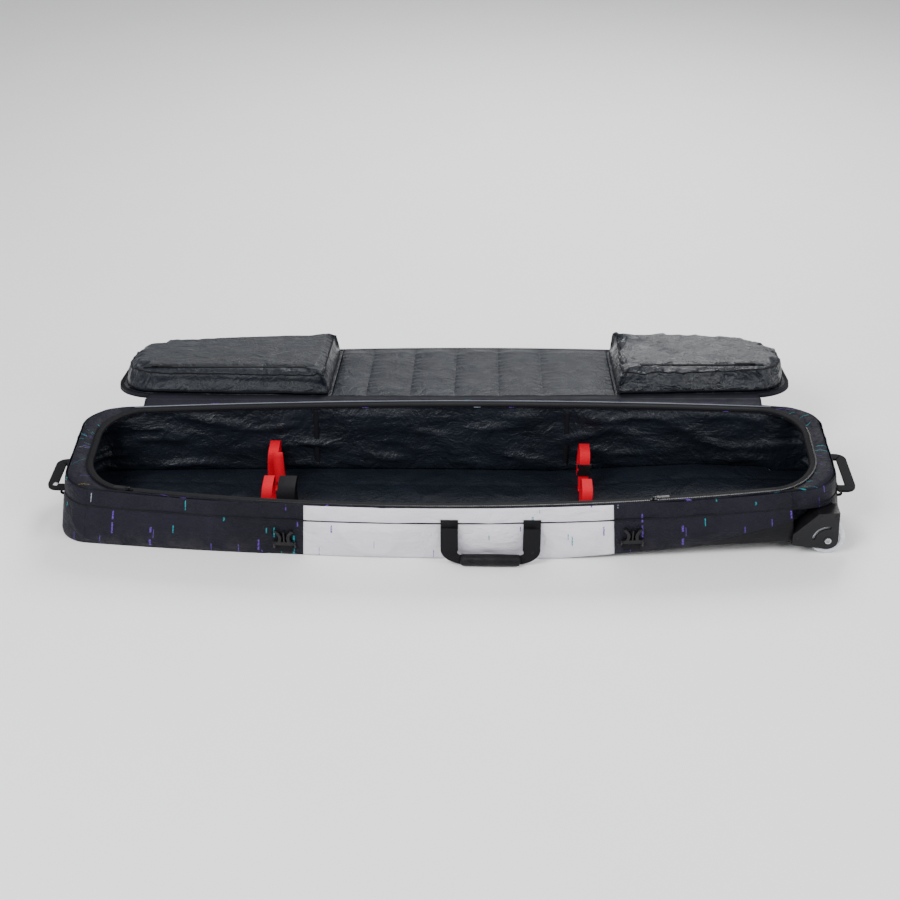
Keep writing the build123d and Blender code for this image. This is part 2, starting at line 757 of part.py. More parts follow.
def front_wall_y(x, z):
    """Outer face of the front wall at a place along the bag."""
    mid = BASE_MID_FRONT + LEAN_MID_FRONT * z
    end = BASE_END_FRONT + LEAN_END_FRONT * z
    half = BASE_HALF_LENGTH + LEAN_LENGTH * z
    sagitta = mid - end
    radius = (half**2 + sagitta**2) / (2 * sagitta)
    return -(mid - radius + sqrt(radius**2 - x**2))


def buckle_plane(x):
    """Plane lying on the front wall with its origin at a buckle's lower bar."""
    low = FRONT_BUCKLE_Z + floor_lift(x)
    foot = Vector(x, front_wall_y(x, low) - PIPING_PROUD - FRONT_BUCKLE_CLEARANCE, low)
    head = Vector(x, front_wall_y(x, low + 40) - PIPING_PROUD - FRONT_BUCKLE_CLEARANCE, low + 40)
    step = 20
    beside = front_wall_y(x + step, low) - front_wall_y(x - step, low)
    along = Vector(2 * step, beside, 0).normalized()
    up = (head - foot).normalized()
    return Plane(origin=foot, x_dir=along, z_dir=along.cross(up))


def front_buckle():
    """Male half: a bar with two curved prongs and a centre tongue."""
    half = BUCKLE_BAR_LENGTH / 2
    bar = Rectangle(BUCKLE_BAR_LENGTH, BUCKLE_BAR)
    bar = fillet(bar.vertices(), BUCKLE_BAR / 3)
    sketch = Sketch() + bar
    tongue = Pos(0, PRONG_LENGTH / 2) * Rectangle(PRONG_WIDTH / 2, PRONG_LENGTH)
    sketch += tongue
    for side in (-1, 1):
        start = (side * (half - PRONG_WIDTH), 0)
        bend = (side * (PRONG_SPREAD - PRONG_WIDTH / 2), PRONG_LENGTH / 2)
        tip = (side * (half - PRONG_WIDTH / 2), PRONG_LENGTH)
        sketch += SlotArc(ThreePointArc(start, bend, tip), PRONG_WIDTH)
    body = extrude(sketch, BUCKLE_DEPTH)
    pin = Rot(0, 90, 0) * Cylinder(FRONT_BUCKLE_HINGE + HANDLE_PIN_CLEARANCE, FAR)
    return body - Pos(0, 0, BUCKLE_DEPTH / 2) * pin


def buckle_tab():
    """Webbing tab sewn to the wall that ends in a loop round the buckle's bar."""
    rod = Rot(0, 90, 0) * Cylinder(FRONT_BUCKLE_HINGE, BUCKLE_BAR_LENGTH + 2 * TAB_EAR)
    tab = Pos(0, 0, BUCKLE_DEPTH / 2) * rod
    lift = BUCKLE_BAR / 2 + 3 * LAYER_GAP
    for side in (-1, 1):
        x = side * (BUCKLE_BAR_LENGTH + TAB_EAR) / 2
        tab += block(
            x - TAB_EAR / 2 + side * 0.5,
            x + TAB_EAR / 2 + side * 0.5,
            -TAB_HEIGHT,
            FRONT_BUCKLE_HINGE,
            -FRONT_BUCKLE_CLEARANCE + LAYER_GAP,
            BUCKLE_DEPTH / 2 + FRONT_BUCKLE_HINGE,
        )
    sheet = block(
        -BUCKLE_BAR_LENGTH / 2 - TAB_EAR,
        BUCKLE_BAR_LENGTH / 2 + TAB_EAR,
        -TAB_HEIGHT,
        -lift,
        -FRONT_BUCKLE_CLEARANCE + LAYER_GAP,
        WEBBING - FRONT_BUCKLE_CLEARANCE + LAYER_GAP,
    )
    return tab + sheet


def save_straps():
    save("strap_buckle", strap_buckle(RIGHT_STRAP_X, BACK_LOOP[0] + STRAP_THICK / 2))
    for side, x in (("left", LEFT_STRAP_X), ("right", RIGHT_STRAP_X)):
        save(f"back_strap_{side}", strap_loop(x, RED_WIDTH, BACK_LOOP, BACK_LOOP_TOP))
        save(f"front_strap_{side}", strap_loop(x, RED_WIDTH, FRONT_LOOP, FRONT_LOOP_TOP))
    save("black_strap", strap_loop(BLACK_STRAP_X, BLACK_WIDTH, FRONT_LOOP, FRONT_LOOP_TOP))
    for side, x in zip(("left", "right"), LID_STRAP_X):
        place = buckle_plane(x).location
        save(f"front_buckle_{side}", place * front_buckle())
        save(f"front_buckle_tab_{side}", place * buckle_tab())


# ---------------------------------------------------------------- tub zip sliders


def coil_place(x):
    """Location on the tub coil's front arc: origin on the coil's middle, X along the coil."""
    centre_v = -OPENING_FRONT + ARC_RADIUS
    turn = atan2(x, sqrt(COIL_RADIUS**2 - x**2))
    v = centre_v - COIL_RADIUS * cos(turn)
    return RIM.location * Pos(x, v, 0) * Rot(0, 0, degrees(turn))


def slider():
    """Channel that straddles the coil, with a bridge for the pull."""
    half = SLIDER_LENGTH / 2
    inner = COIL_WIDTH / 2 + SLIDER_CLEARANCE
    outer = inner + SLIDER_WALL
    top = TAPE + COIL_HEIGHT + SLIDER_CLEARANCE
    body = block(-half, half, -outer, outer, TAPE + SLIDER_CLEARANCE, top + SLIDER_TOP)
    body -= block(-FAR, FAR, -inner, inner, 0, top)
    bridge = Pos(0, 0, top + SLIDER_TOP + BRIDGE_HEIGHT - BRIDGE_RADIUS)
    body += bridge * Rot(90, 0, 0) * Cylinder(BRIDGE_RADIUS, 2 * outer)
    for side in (-1, 1):
        y = side * (outer - SLIDER_WALL / 2)
        body += block(
            -BRIDGE_RADIUS,
            BRIDGE_RADIUS,
            y - SLIDER_WALL / 2,
            y + SLIDER_WALL / 2,
            top,
            top + SLIDER_TOP + BRIDGE_HEIGHT - BRIDGE_RADIUS,
        )
    return body


def slider_pull(side):
    """Flat pull hooked round the slider's bridge, lying along the coil."""
    top = TAPE + COIL_HEIGHT + SLIDER_CLEARANCE + SLIDER_TOP + BRIDGE_HEIGHT - BRIDGE_RADIUS
    eye_radius = BRIDGE_RADIUS + PULL_EYE_CLEARANCE
    width = 2 * (COIL_WIDTH / 2 + SLIDER_CLEARANCE - PULL_EYE_CLEARANCE)
    eye = Rot(90, 0, 0) * Cylinder(eye_radius + 1.2, width)
    neck = block(eye_radius, SLIDER_LENGTH / 2 + 2, -width / 2, width / 2, 0.2, 0.2 + PULL_THICK)
    paddle = block(
        SLIDER_LENGTH / 2 + 1, PULL_LENGTH, -PULL_WIDTH / 2, PULL_WIDTH / 2, 0.2, 0.2 + PULL_THICK
    )
    pull = eye + neck + paddle
    pull -= Rot(90, 0, 0) * Cylinder(eye_radius, FAR)
    if side < 0:
        pull = Rot(0, 0, 180) * pull
    return Pos(0, 0, top) * pull


def save_sliders():
    for name, x, side in (("left", LEFT_SLIDER_X, -1), ("right", RIGHT_SLIDER_X, 1)):
        place = coil_place(x)
        save(f"zip_slider_{name}", place * slider())
        save(f"zip_pull_{name}", place * slider_pull(side))


save_tub()
save_wheels()
save_lid()
save_handles()
save_straps()
save_sliders()
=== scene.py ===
import json
import math

import bmesh
import bpy
from mathutils import Matrix, Quaternion, Vector, noise


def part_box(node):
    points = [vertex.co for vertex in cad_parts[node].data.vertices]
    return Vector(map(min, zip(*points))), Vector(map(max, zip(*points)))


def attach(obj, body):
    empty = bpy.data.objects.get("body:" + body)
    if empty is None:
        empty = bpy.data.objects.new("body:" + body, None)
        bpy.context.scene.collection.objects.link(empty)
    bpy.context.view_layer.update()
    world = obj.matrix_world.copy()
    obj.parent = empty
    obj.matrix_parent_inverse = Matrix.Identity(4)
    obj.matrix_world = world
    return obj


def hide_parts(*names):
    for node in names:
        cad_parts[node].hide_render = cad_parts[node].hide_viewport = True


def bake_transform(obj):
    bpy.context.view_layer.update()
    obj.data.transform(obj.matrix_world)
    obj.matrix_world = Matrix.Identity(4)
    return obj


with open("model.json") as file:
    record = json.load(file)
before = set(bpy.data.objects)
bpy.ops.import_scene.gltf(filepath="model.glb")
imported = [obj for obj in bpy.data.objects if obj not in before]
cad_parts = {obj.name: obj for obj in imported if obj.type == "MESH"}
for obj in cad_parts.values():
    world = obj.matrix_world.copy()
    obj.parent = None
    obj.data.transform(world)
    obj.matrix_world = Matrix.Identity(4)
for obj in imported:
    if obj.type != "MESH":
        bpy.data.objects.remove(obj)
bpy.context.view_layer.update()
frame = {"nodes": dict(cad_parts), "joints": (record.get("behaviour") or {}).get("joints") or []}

bl_info = {
    "name": "Open wheeled ski bag",
    "version": (1, 0, 0),
    "blender": (4, 5, 0),
    "location": "3D View > Sidebar > Ski Bag",
    "description": "Builds the cloth, webbing and finishes of an open wheeled ski bag round its frame",
    "category": "Object",
}

# ------------------------------------------------------------------ frame


def joint(name):
    """The frame's entry for a joint."""
    for entry in frame["joints"]:
        if entry["name"] == name:
            return entry
    raise ValueError(f"the frame has no joint {name}")


LID_JOINT = joint("lid_fold")
HINGE = Vector(LID_JOINT["pos_m"])
ALONG = Vector(LID_JOINT["axis"]).normalized()
RIM_UP = Vector(joint("zip_slider_left_travel")["axis"]).normalized()
RIM_BACK = RIM_UP.cross(ALONG)
OPEN_TURN = math.radians(max(LID_JOINT["range_deg"]))
HINGE_V = 0.008
HINGE_W = 0.0023
RIM_ORIGIN = HINGE - RIM_BACK * HINGE_V - RIM_UP * HINGE_W
LID_SPIN = Quaternion(ALONG, -OPEN_TURN)
LID_OUT = LID_SPIN @ (-RIM_BACK)
LID_FACE = LID_SPIN @ (-RIM_UP)

# ------------------------------------------------------------------ plan of the bag, in metres

HALF_LENGTH = 0.920
END_HALF = 0.155
MID_FRONT = 0.212
MID_BACK = 0.185
CORNER = 0.065
LEAN_LENGTH = -0.15
LEAN_END_FRONT = -0.03
LEAN_MID_FRONT = 0.16
LEAN_MID_BACK = 0.025
LIFT = 0.030
LIFT_START = 0.250
LIFT_END = 0.600
SEAM_DROP = 0.045
OPEN_HALF = 0.842
OPEN_FRONT = 0.410
OPEN_FRONT_SAG = 0.078
OPEN_BACK = 0.017
OPEN_BACK_SAG = 0.031
OPEN_CORNER = 0.095
WHITE_LEFT = -0.332
WHITE_RIGHT = 0.380
KICK_START = 0.430
KICK_END = 0.800
KICK_RISE = 0.092
LINING_INSET = 0.010
PAD_TOP = 0.0126
LEFT_STRAP_X = -0.433
BLACK_STRAP_X = -0.388
RIGHT_STRAP_X = 0.325
LID_QUILT = (-0.300, 0.405)
QUILT_CENTRE = 0.005
QUILT_PITCH = 0.110
LEFT_POUCH = (-0.836, -0.305)
RIGHT_POUCH = (0.410, 0.836)
POUCH_SHIFT = 0.004
POUCH_ZIP_OUT = 0.086
POUCH_ZIP_MARGIN = 0.060
COMPRESSION_X = (-0.378, 0.423)
ARM_X = (0.003, 0.192)
SECTIONS = 8
HOUSING_X = 0.795
HOUSING_TOP = 0.1175
HOUSING_INNER = 0.134
MID_WALL = 0.08
RIM_WIDTH = 0.018
SOLE_GAP = 0.0012
FOLD_HALF = 0.76
WELT_HALF = 0.78
WEAVE_WIDTH = 0.03
ZIP_SECTIONS = (-2.2, 3.2)
TOOTH_WIDTH = 0.0034
TOOTH_HEIGHT = 0.0016
ARM_WIDTH = 0.040
ARM_TAPER = 0.017
ARM_THICK = 0.0024
ARM_BEND = 0.016
GRIP_HALF = 0.066
END_HANDLE_WIDTH = 0.0235
END_HANDLE_THICK = 0.0062
END_HANDLE_BEND = 0.024
END_HANDLE_INSET = 0.012
KEEPER_REACH = 0.0058
KEEPER_OFFSET = 0.017
STRAP_THICK = 0.0019
STRAP_BEND = 0.030
WEBBING_THICK = 0.0016
WALL_CLOTH = 0.0022
THIN_CLOTH = 0.0012
TAB_WIDTH = 0.040
LAST = SECTIONS - 1e-6
WELD = 1e-5
SWELL_FRAMES = 20
SWELL_PRESSURE = 4.0

X_AXIS = Vector((1, 0, 0))
Y_AXIS = Vector((0, 1, 0))
Z_AXIS = Vector((0, 0, 1))


def around(u):
    """Section parameter of a closed plan at a share u of its way round."""
    return min(u * SECTIONS, LAST)


def arc_drop(x, half, sagitta):
    """How far a shallow arc through the ends has fallen from its middle."""
    radius = (half * half + sagitta * sagitta) / (2 * sagitta)
    x = min(abs(x), radius * 0.999)
    return radius - math.sqrt(radius * radius - x * x)


def smooth(t):
    """Eased step from 0 to 1 as t goes from 0 to 1."""
    t = max(0.0, min(1.0, t))
    return t * t * (3 - 2 * t)


def floor_lift(x):
    """How far the underside has risen above the floor at a place along the bag."""
    return LIFT * max(0.0, min(1.0, (x - LIFT_START) / (LIFT_END - LIFT_START)))


def rim_height(x, y):
    """Height of the rim plane over a place on the floor."""
    rise = RIM_UP.x * (x - RIM_ORIGIN.x) + RIM_UP.y * (y - RIM_ORIGIN.y)
    return RIM_ORIGIN.z - rise / RIM_UP.z


def round_corner(start, corner, end, t):
    """A quarter circle from start to end inside a corner."""
    weight = math.sqrt(0.5)
    a = (1 - t) ** 2
    b = 2 * weight * t * (1 - t)
    c = t * t
    total = a + b + c
    return tuple((a * s + b * k + c * e) / total for s, k, e in zip(start, corner, end))


def bowed_outline(p, half, front, front_end, back, back_end, corner):
    """Point of a closed plan: section 0 front, then anticlockwise, a corner after each side."""
    section = int(p) % SECTIONS
    t = p - math.floor(p)
    front_at = lambda x: -front + arc_drop(x, half, front - front_end)
    back_at = lambda x: back - arc_drop(x, half, max(back - back_end, 1e-4))
    inner = half - corner
    if section == 0:
        x = -inner + 2 * inner * t
        return x, front_at(x)
    if section == 1:
        return round_corner((inner, front_at(inner)), (half, front_at(half)), (half, -front_end + corner), t)
    if section == 2:
        return half, (-front_end + corner) * (1 - t) + (back_end - corner) * t
    if section == 3:
        return round_corner((half, back_end - corner), (half, back_at(half)), (inner, back_at(inner)), t)
    if section == 4:
        x = inner - 2 * inner * t
        return x, back_at(x)
    if section == 5:
        return round_corner(
            (-inner, back_at(inner)), (-half, back_at(half)), (-half, back_end - corner), t
        )
    if section == 6:
        return -half, (back_end - corner) * (1 - t) + (-front_end + corner) * t
    return round_corner((-half, -front_end + corner), (-half, front_at(half)), (-inner, front_at(inner)), t)


def wall_plan(p, z, inset):
    """Point of the tub's outline at a height, drawn in by inset."""
    return bowed_outline(
        p,
        HALF_LENGTH + LEAN_LENGTH * z - inset,
        MID_FRONT + LEAN_MID_FRONT * z - inset,
        END_HALF + LEAN_END_FRONT * z - inset,
        MID_BACK + LEAN_MID_BACK * z - inset,
        END_HALF - inset,
        max(CORNER - inset, 0.02),
    )


def opening_plan(p, grow):
    """Point of the opening's outline in rim coordinates, grown outwards."""
    x, v = bowed_outline(
        p,
        OPEN_HALF + grow,
        OPEN_FRONT + grow,
        OPEN_FRONT - OPEN_FRONT_SAG + grow,
        -OPEN_BACK + grow,
        -OPEN_BACK - OPEN_BACK_SAG + grow,
        OPEN_CORNER + grow,
    )
    return x, v


def on_rim(x, v, w):
    """Place from rim coordinates: along the bag, back, and up from the rim's plane."""
    return RIM_ORIGIN + ALONG * x + RIM_BACK * v + RIM_UP * w


def on_lid(x, out, height):
    """Place on the open lid: out from the hinge, height above the hinge line on the lining's side."""
    return HINGE + ALONG * x + LID_OUT * out + LID_FACE * height


def back_of_opening(x, grow):
    """Back edge of the opening in rim coordinates, grown outwards, at a place along it."""
    return -OPEN_BACK - arc_drop(x, OPEN_HALF, OPEN_BACK_SAG) + grow


def section_for_x(x, z, inset):
    """Parameter on the front of the tub at a place along the bag."""
    inner = HALF_LENGTH + LEAN_LENGTH * z - inset - max(CORNER - inset, 0.02)
    return (x + inner) / (2 * inner)


def lid_edges(x, grow):
    """Near and far edge of the lid's plan, out from the hinge, at a place along it."""
    half = OPEN_HALF + grow
    corner = OPEN_CORNER + grow
    far = OPEN_FRONT + grow - arc_drop(x, half, OPEN_FRONT_SAG)
    near = OPEN_BACK - grow + arc_drop(x, half, OPEN_BACK_SAG)
    over = max(0.0, min(abs(x), half) - (half - corner))
    cut = corner - math.sqrt(max(corner * corner - over * over, 0.0))
    return near + cut + HINGE_V, far - cut + HINGE_V


def ripple(point, scale, seed=0.0):
    """Smooth noise, about -1 to 1."""
    return noise.noise(Vector((point[0], point[1], point[2])) * scale + Vector((seed, seed * 1.7, -seed)))


def crease(point, scale, seed=0.0):
    """Narrow ridges, 0 to 1, for folded cloth."""
    value = 1 - abs(ripple(point, scale, seed)) * 2.6
    return max(0.0, value) ** 2


# ------------------------------------------------------------------ mesh tools


def finish_piece(name, bm, look, body, replaces=(), smooth_faces=True):
    """Make an object of a mesh, with its material, the body it rides on and what it stands for."""
    mesh = bpy.data.meshes.new(name)
    bm.to_mesh(mesh)
    bm.free()
    mesh.update()
    obj = bpy.data.objects.new(name, mesh)
    bpy.context.scene.collection.objects.link(obj)
    mesh.materials.append(look)
    for polygon in mesh.polygons:
        polygon.use_smooth = smooth_faces
    if body:
        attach(obj, body)
    if replaces:
        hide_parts(*replaces)
    return obj


def cloth_grid(columns, rows, place, size=(1.0, 1.0), close_u=False, spread=None):
    """A grid of faces laid by place(u, v), with a UV map in metres of the given size."""
    bm = bmesh.new()
    bmesh.ops.create_grid(bm, x_segments=columns, y_segments=rows, size=0.5)
    uv_layer = bm.loops.layers.uv.new("UVMap")
    for face in bm.faces:
        for loop in face.loops:
            co = loop.vert.co
            loop[uv_layer].uv = ((co.x + 0.5) * size[0], (co.y + 0.5) * size[1])
    for vert in bm.verts:
        u = vert.co.x + 0.5
        if spread:
            u = spread(u)
        vert.co = place(u, vert.co.y + 0.5)
    if close_u:
        bmesh.ops.remove_doubles(bm, verts=bm.verts, dist=WELD)
    return bm


def path_length(place, steps=120):
    """Length of the path that place(u) draws as u goes from 0 to 1."""
    total = 0.0
    last = place(0.0)
    for step in range(1, steps + 1):
        here = place(step / steps)
        total += (here - last).length
        last = here
    return total


def closed_cloth(columns, rows, place, height):
    """A grid that closes on itself, its UV map as long as its middle line."""
    return cloth_grid(columns, rows, place, (path_length(lambda u: place(u, 0.5)), height), close_u=True)


def end_spread(u):
    """Crowds the columns of a grid towards both ends."""
    return 0.5 - 0.5 * math.cos(math.pi * u)


def thicken(obj, thickness, offset=0.0):
    """Give cloth its thickness."""
    modifier = obj.modifiers.new("Thickness", "SOLIDIFY")
    modifier.thickness = thickness
    modifier.offset = offset
    return modifier


def subdivide(obj, levels):
    modifier = obj.modifiers.new("Smooth", "SUBSURF")
    modifier.levels = levels
    modifier.render_levels = levels


def soften(obj, width, segments=2):
    """Round the edges of a band."""
    modifier = obj.modifiers.new("Edge", "BEVEL")
    modifier.width = width
    modifier.segments = segments
    modifier.limit_method = "ANGLE"


def sweep(points, across, width, thickness, weave_scale=1.0):
    """A flat band along points; across(i) is its width's direction, width a number or one for each point."""
    count = len(points)
    widths = [width] * count if isinstance(width, float) else width
    lengths = [0.0]
    for before, after in zip(points, points[1:]):
        lengths.append(lengths[-1] + (after - before).length)
    bm = bmesh.new()
    bmesh.ops.create_grid(bm, x_segments=count - 1, y_segments=4, size=0.5)
    uv_layer = bm.loops.layers.uv.new("UVMap")
    table_width = width if isinstance(width, float) else 1.0
    for face in bm.faces:
        side = int((face.calc_center_median().y + 0.5) * 4)
        span = (table_width if side in (0, 2) else thickness) * weave_scale
        for loop in face.loops:
            i = round((loop.vert.co.x + 0.5) * (count - 1))
            turned = round((loop.vert.co.y + 0.5) * 4) - side
            loop[uv_layer].uv = (span * (1 - turned if side == 2 else turned), lengths[i])
    for vert in bm.verts:
        i = round((vert.co.x + 0.5) * (count - 1))
        a, b = ((-1, -1), (1, -1), (1, 1), (-1, 1), (-1, -1))[round((vert.co.y + 0.5) * 4)]
        forward = (points[min(i + 1, count - 1)] - points[max(i - 1, 0)]).normalized()
        side = across(i)
        up = forward.cross(side).normalized()
        vert.co = points[i] + side * (a * widths[i] / 2) + up * (b * thickness / 2)
    bmesh.ops.remove_doubles(bm, verts=bm.verts, dist=1e-6)
    ends = bmesh.ops.holes_fill(bm, edges=[edge for edge in bm.edges if edge.is_boundary], sides=0)["faces"]
    for loop in (loop for face in ends for loop in face.loops):
        loop[uv_layer].uv = (0.0, 0.0)
    bmesh.ops.recalc_face_normals(bm, faces=bm.faces)
    return bm


def subdivided_path(points, step):
    """The same path with a point at least every step."""
    dense = []
    for a, b in zip(points, points[1:]):
        cuts = max(1, int((b - a).length / step))
        dense += [a.lerp(b, k / cuts) for k in range(cuts)]
    return [*dense, points[-1]]


def band(name, points, across, width, thickness, look, body, replaces=(), soft=0.0):
    """A flat band made a piece, with one direction across it."""
    bm = sweep(points, lambda i: across, width, thickness)
    obj = finish_piece(name, bm, material(look), body, replaces)
    if soft:
        soften(obj, soft)


def rounded_path(corners, radius, steps=6):
    """Points along straight runs with round bends between them."""
    points = [corners[0]]
    for before, corner, after in zip(corners, corners[1:], corners[2:]):
        back = (before - corner).normalized()
        ahead = (after - corner).normalized()
        reach = min(radius, (before - corner).length * 0.49, (after - corner).length * 0.49)
        start = corner + back * reach
        end = corner + ahead * reach
        for step in range(steps + 1):
            t = step / steps
            points.append(start * (1 - t) ** 2 + corner * (2 * t * (1 - t)) + end * t * t)
    points.append(corners[-1])
    return points


# ------------------------------------------------------------------ shader tools


VALUE = "NodeSocketFloat"
VECTOR = "NodeSocketVector"
COLOUR = "NodeSocketColor"


def new_group(name, inputs, outputs):
    """An empty node group with named sockets; inputs hold label, kind and value, outputs label and kind."""
    group = bpy.data.node_groups.new(name, "ShaderNodeTree")
    for label, kind, value in inputs:
        socket = group.interface.new_socket(label, in_out="INPUT", socket_type=kind)
        if value is not None:
            socket.default_value = value
    for label, kind in outputs:
        group.interface.new_socket(label, in_out="OUTPUT", socket_type=kind)
    entry = group.nodes.new("NodeGroupInput")
    leave = group.nodes.new("NodeGroupOutput")
    return group, entry, leave


def math_node(tree, operation, a, b=None, clamp=False):
    node = tree.nodes.new("ShaderNodeMath")
    node.operation = operation
    node.use_clamp = clamp
    for index, value in enumerate((a, b)):
        if value is None:
            continue
        if isinstance(value, (int, float)):
            node.inputs[index].default_value = value
        else:
            tree.links.new(value, node.inputs[index])
    return node.outputs[0]


def times(tree, a, b, clamp=False):
    return math_node(tree, "MULTIPLY", a, b, clamp)


def plus(tree, a, b, clamp=False):
    return math_node(tree, "ADD", a, b, clamp)


def set_input(node, label, value):
    node.inputs[label].default_value = value


def mix_colour(tree, factor, a, b):
    node = tree.nodes.new("ShaderNodeMix")
    node.data_type = "RGBA"
    for socket, value in ((node.inputs[0], factor), (node.inputs[6], a), (node.inputs[7], b)):
        if isinstance(value, bpy.types.NodeSocket):
            tree.links.new(value, socket)
        elif isinstance(value, (int, float)):
            socket.default_value = value
        else:
            socket.default_value = (*value[:3], 1.0)
    return node.outputs[2]


def noise_node(tree, vector, scale, detail=3.0, roughness=0.55, distortion=0.0):
    node = tree.nodes.new("ShaderNodeTexNoise")
    set_input(node, "Scale", scale)
    set_input(node, "Detail", detail)
    set_input(node, "Roughness", roughness)
    set_input(node, "Distortion", distortion)
    tree.links.new(vector, node.inputs["Vector"])
    return node.outputs["Fac"]


def remap(tree, value, low, high, to_low=0.0, to_high=1.0):
    node = tree.nodes.new("ShaderNodeMapRange")
    tree.links.new(value, node.inputs["Value"])
    set_input(node, "From Min", low)
    set_input(node, "From Max", high)
    set_input(node, "To Min", to_low)
    set_input(node, "To Max", to_high)
    return node.outputs["Result"]


def scaled(tree, vector, x, y, z=1.0):
    node = tree.nodes.new("ShaderNodeMapping")
    set_input(node, "Scale", (x, y, z))
    tree.links.new(vector, node.inputs["Vector"])
    return node.outputs["Vector"]


def weave_group():
    """Over-and-under threads: a height, and a mask of the gaps between the threads."""
    if "Weave" in bpy.data.node_groups:
        return bpy.data.node_groups["Weave"]
    inputs = (("Vector", VECTOR, None), ("Threads X", VALUE, 1000.0), ("Threads Y", VALUE, 1000.0))
    group, entry, leave = new_group("Weave", inputs, (("Height", VALUE), ("Gaps", VALUE)))
    split = group.nodes.new("ShaderNodeSeparateXYZ")
    group.links.new(entry.outputs["Vector"], split.inputs[0])
    across = times(group, split.outputs["X"], entry.outputs["Threads X"])
    along = times(group, split.outputs["Y"], entry.outputs["Threads Y"])
    first = math_node(group, "SINE", times(group, across, math.pi))
    second = math_node(group, "SINE", times(group, along, math.pi))
    product = times(group, first, second)
    height = plus(group, times(group, product, 0.5), 0.5)
    ridge = times(group, *(math_node(group, "ABSOLUTE", wave) for wave in (first, second)))
    gaps = math_node(group, "SUBTRACT", 1.0, math_node(group, "POWER", ridge, 0.4), clamp=True)
    group.links.new(height, leave.inputs["Height"])
    group.links.new(gaps, leave.inputs["Gaps"])
    return group


def dash_group():
    """Scattered upright dashes of print: a colour and a mask."""
    if "Dashes" in bpy.data.node_groups:
        return bpy.data.node_groups["Dashes"]
    counts = (("Columns", VALUE, 110.0), ("Rows", VALUE, 26.0), ("Density", VALUE, 0.1))
    inputs = (("Vector", VECTOR, None), *counts)
    group, entry, leave = new_group("Dashes", inputs, (("Color", COLOUR), ("Mask", VALUE)))
    split = group.nodes.new("ShaderNodeSeparateXYZ")
    group.links.new(entry.outputs["Vector"], split.inputs[0])
    column = times(group, split.outputs["X"], entry.outputs["Columns"])
    column_id = math_node(group, "FLOOR", column)
    shift = group.nodes.new("ShaderNodeTexWhiteNoise")
    shift.noise_dimensions = "1D"
    group.links.new(column_id, shift.inputs["W"])
    row = times(group, split.outputs["Y"], entry.outputs["Rows"])
    row = plus(group, row, times(group, shift.outputs["Value"], 7.0))
    row_id = math_node(group, "FLOOR", row)
    cell = group.nodes.new("ShaderNodeCombineXYZ")
    group.links.new(column_id, cell.inputs[0])
    group.links.new(row_id, cell.inputs[1])
    pick = group.nodes.new("ShaderNodeTexWhiteNoise")
    pick.noise_dimensions = "3D"
    group.links.new(cell.outputs[0], pick.inputs["Vector"])
    chosen = math_node(group, "LESS_THAN", pick.outputs["Value"], entry.outputs["Density"])
    parts = group.nodes.new("ShaderNodeSeparateColor")
    group.links.new(pick.outputs["Color"], parts.inputs[0])
    inside_x = math_node(group, "FRACT", column)
    inside_y = math_node(group, "FRACT", row)
    width = plus(group, times(group, shift.outputs["Value"], 0.5), 0.15)
    narrow = math_node(group, "LESS_THAN", inside_x, width)
    length = plus(group, times(group, parts.outputs[2], 0.6), 0.25)
    short = math_node(group, "LESS_THAN", inside_y, length)
    fray = noise_node(group, scaled(group, entry.outputs["Vector"], 900, 160, 900), 1.0, 2.0)
    worn = math_node(group, "GREATER_THAN", fray, 0.44)
    mask = times(group, times(group, chosen, narrow), short)
    mask = times(group, mask, worn)
    ramp = group.nodes.new("ShaderNodeValToRGB")
    ramp.color_ramp.interpolation = "CONSTANT"
    stops = ramp.color_ramp.elements
    stops[0].color = (0.012, 0.23, 0.27, 1)
    stops[1].position = 0.45
    stops[1].color = (0.10, 0.045, 0.30, 1)
    for position, colour in ((0.86, (0.62, 0.50, 0.03, 1)), (0.93, (0.30, 0.32, 0.40, 1))):
        stop = stops.new(position)
        stop.color = colour
    group.links.new(parts.outputs[1], ramp.inputs[0])
    group.links.new(ramp.outputs[0], leave.inputs["Color"])
    group.links.new(mask, leave.inputs["Mask"])
    return group


def dust_group():
    """Pale dust that gathers low down and in patches: a mask."""
    if "Dust" in bpy.data.node_groups:
        return bpy.data.node_groups["Dust"]
    inputs = (("Vector", VECTOR, None), ("Top", VALUE, 0.06), ("Amount", VALUE, 0.4))
    group, entry, leave = new_group("Dust", inputs, (("Mask", VALUE),))
    split = group.nodes.new("ShaderNodeSeparateXYZ")
    group.links.new(entry.outputs["Vector"], split.inputs[0])
    level = math_node(group, "DIVIDE", split.outputs["Z"], entry.outputs["Top"])
    low = math_node(group, "SUBTRACT", 1.0, level, clamp=True)
    patch = noise_node(group, entry.outputs["Vector"], 22.0, 5.0, 0.65)
    patch = remap(group, patch, 0.42, 0.68)
    mask = times(group, times(group, low, patch), entry.outputs["Amount"], True)
    group.links.new(mask, leave.inputs["Mask"])
    return group


def place_group(tree, group, vector, **values):
    node = tree.nodes.new("ShaderNodeGroup")
    node.node_tree = group
    tree.links.new(vector, node.inputs["Vector"])
    for label, value in values.items():
        node.inputs[label.replace("_", " ")].default_value = value
    return node


def start_material(name):
    material = bpy.data.materials.new(name)
    material.use_nodes = True
    tree = material.node_tree
    shader = next(n for n in tree.nodes if n.type == "BSDF_PRINCIPLED")
    coords = tree.nodes.new("ShaderNodeTexCoord")
    return material, tree, shader, coords


def add_bump(tree, shader, height, distance, strength=1.0, under=None):
    bump = tree.nodes.new("ShaderNodeBump")
    set_input(bump, "Strength", strength)
    set_input(bump, "Distance", distance)
    tree.links.new(height, bump.inputs["Height"])
    if under is not None:
        tree.links.new(under, bump.inputs["Normal"])
    tree.links.new(bump.outputs[0], shader.inputs["Normal"])
    return bump.outputs[0]


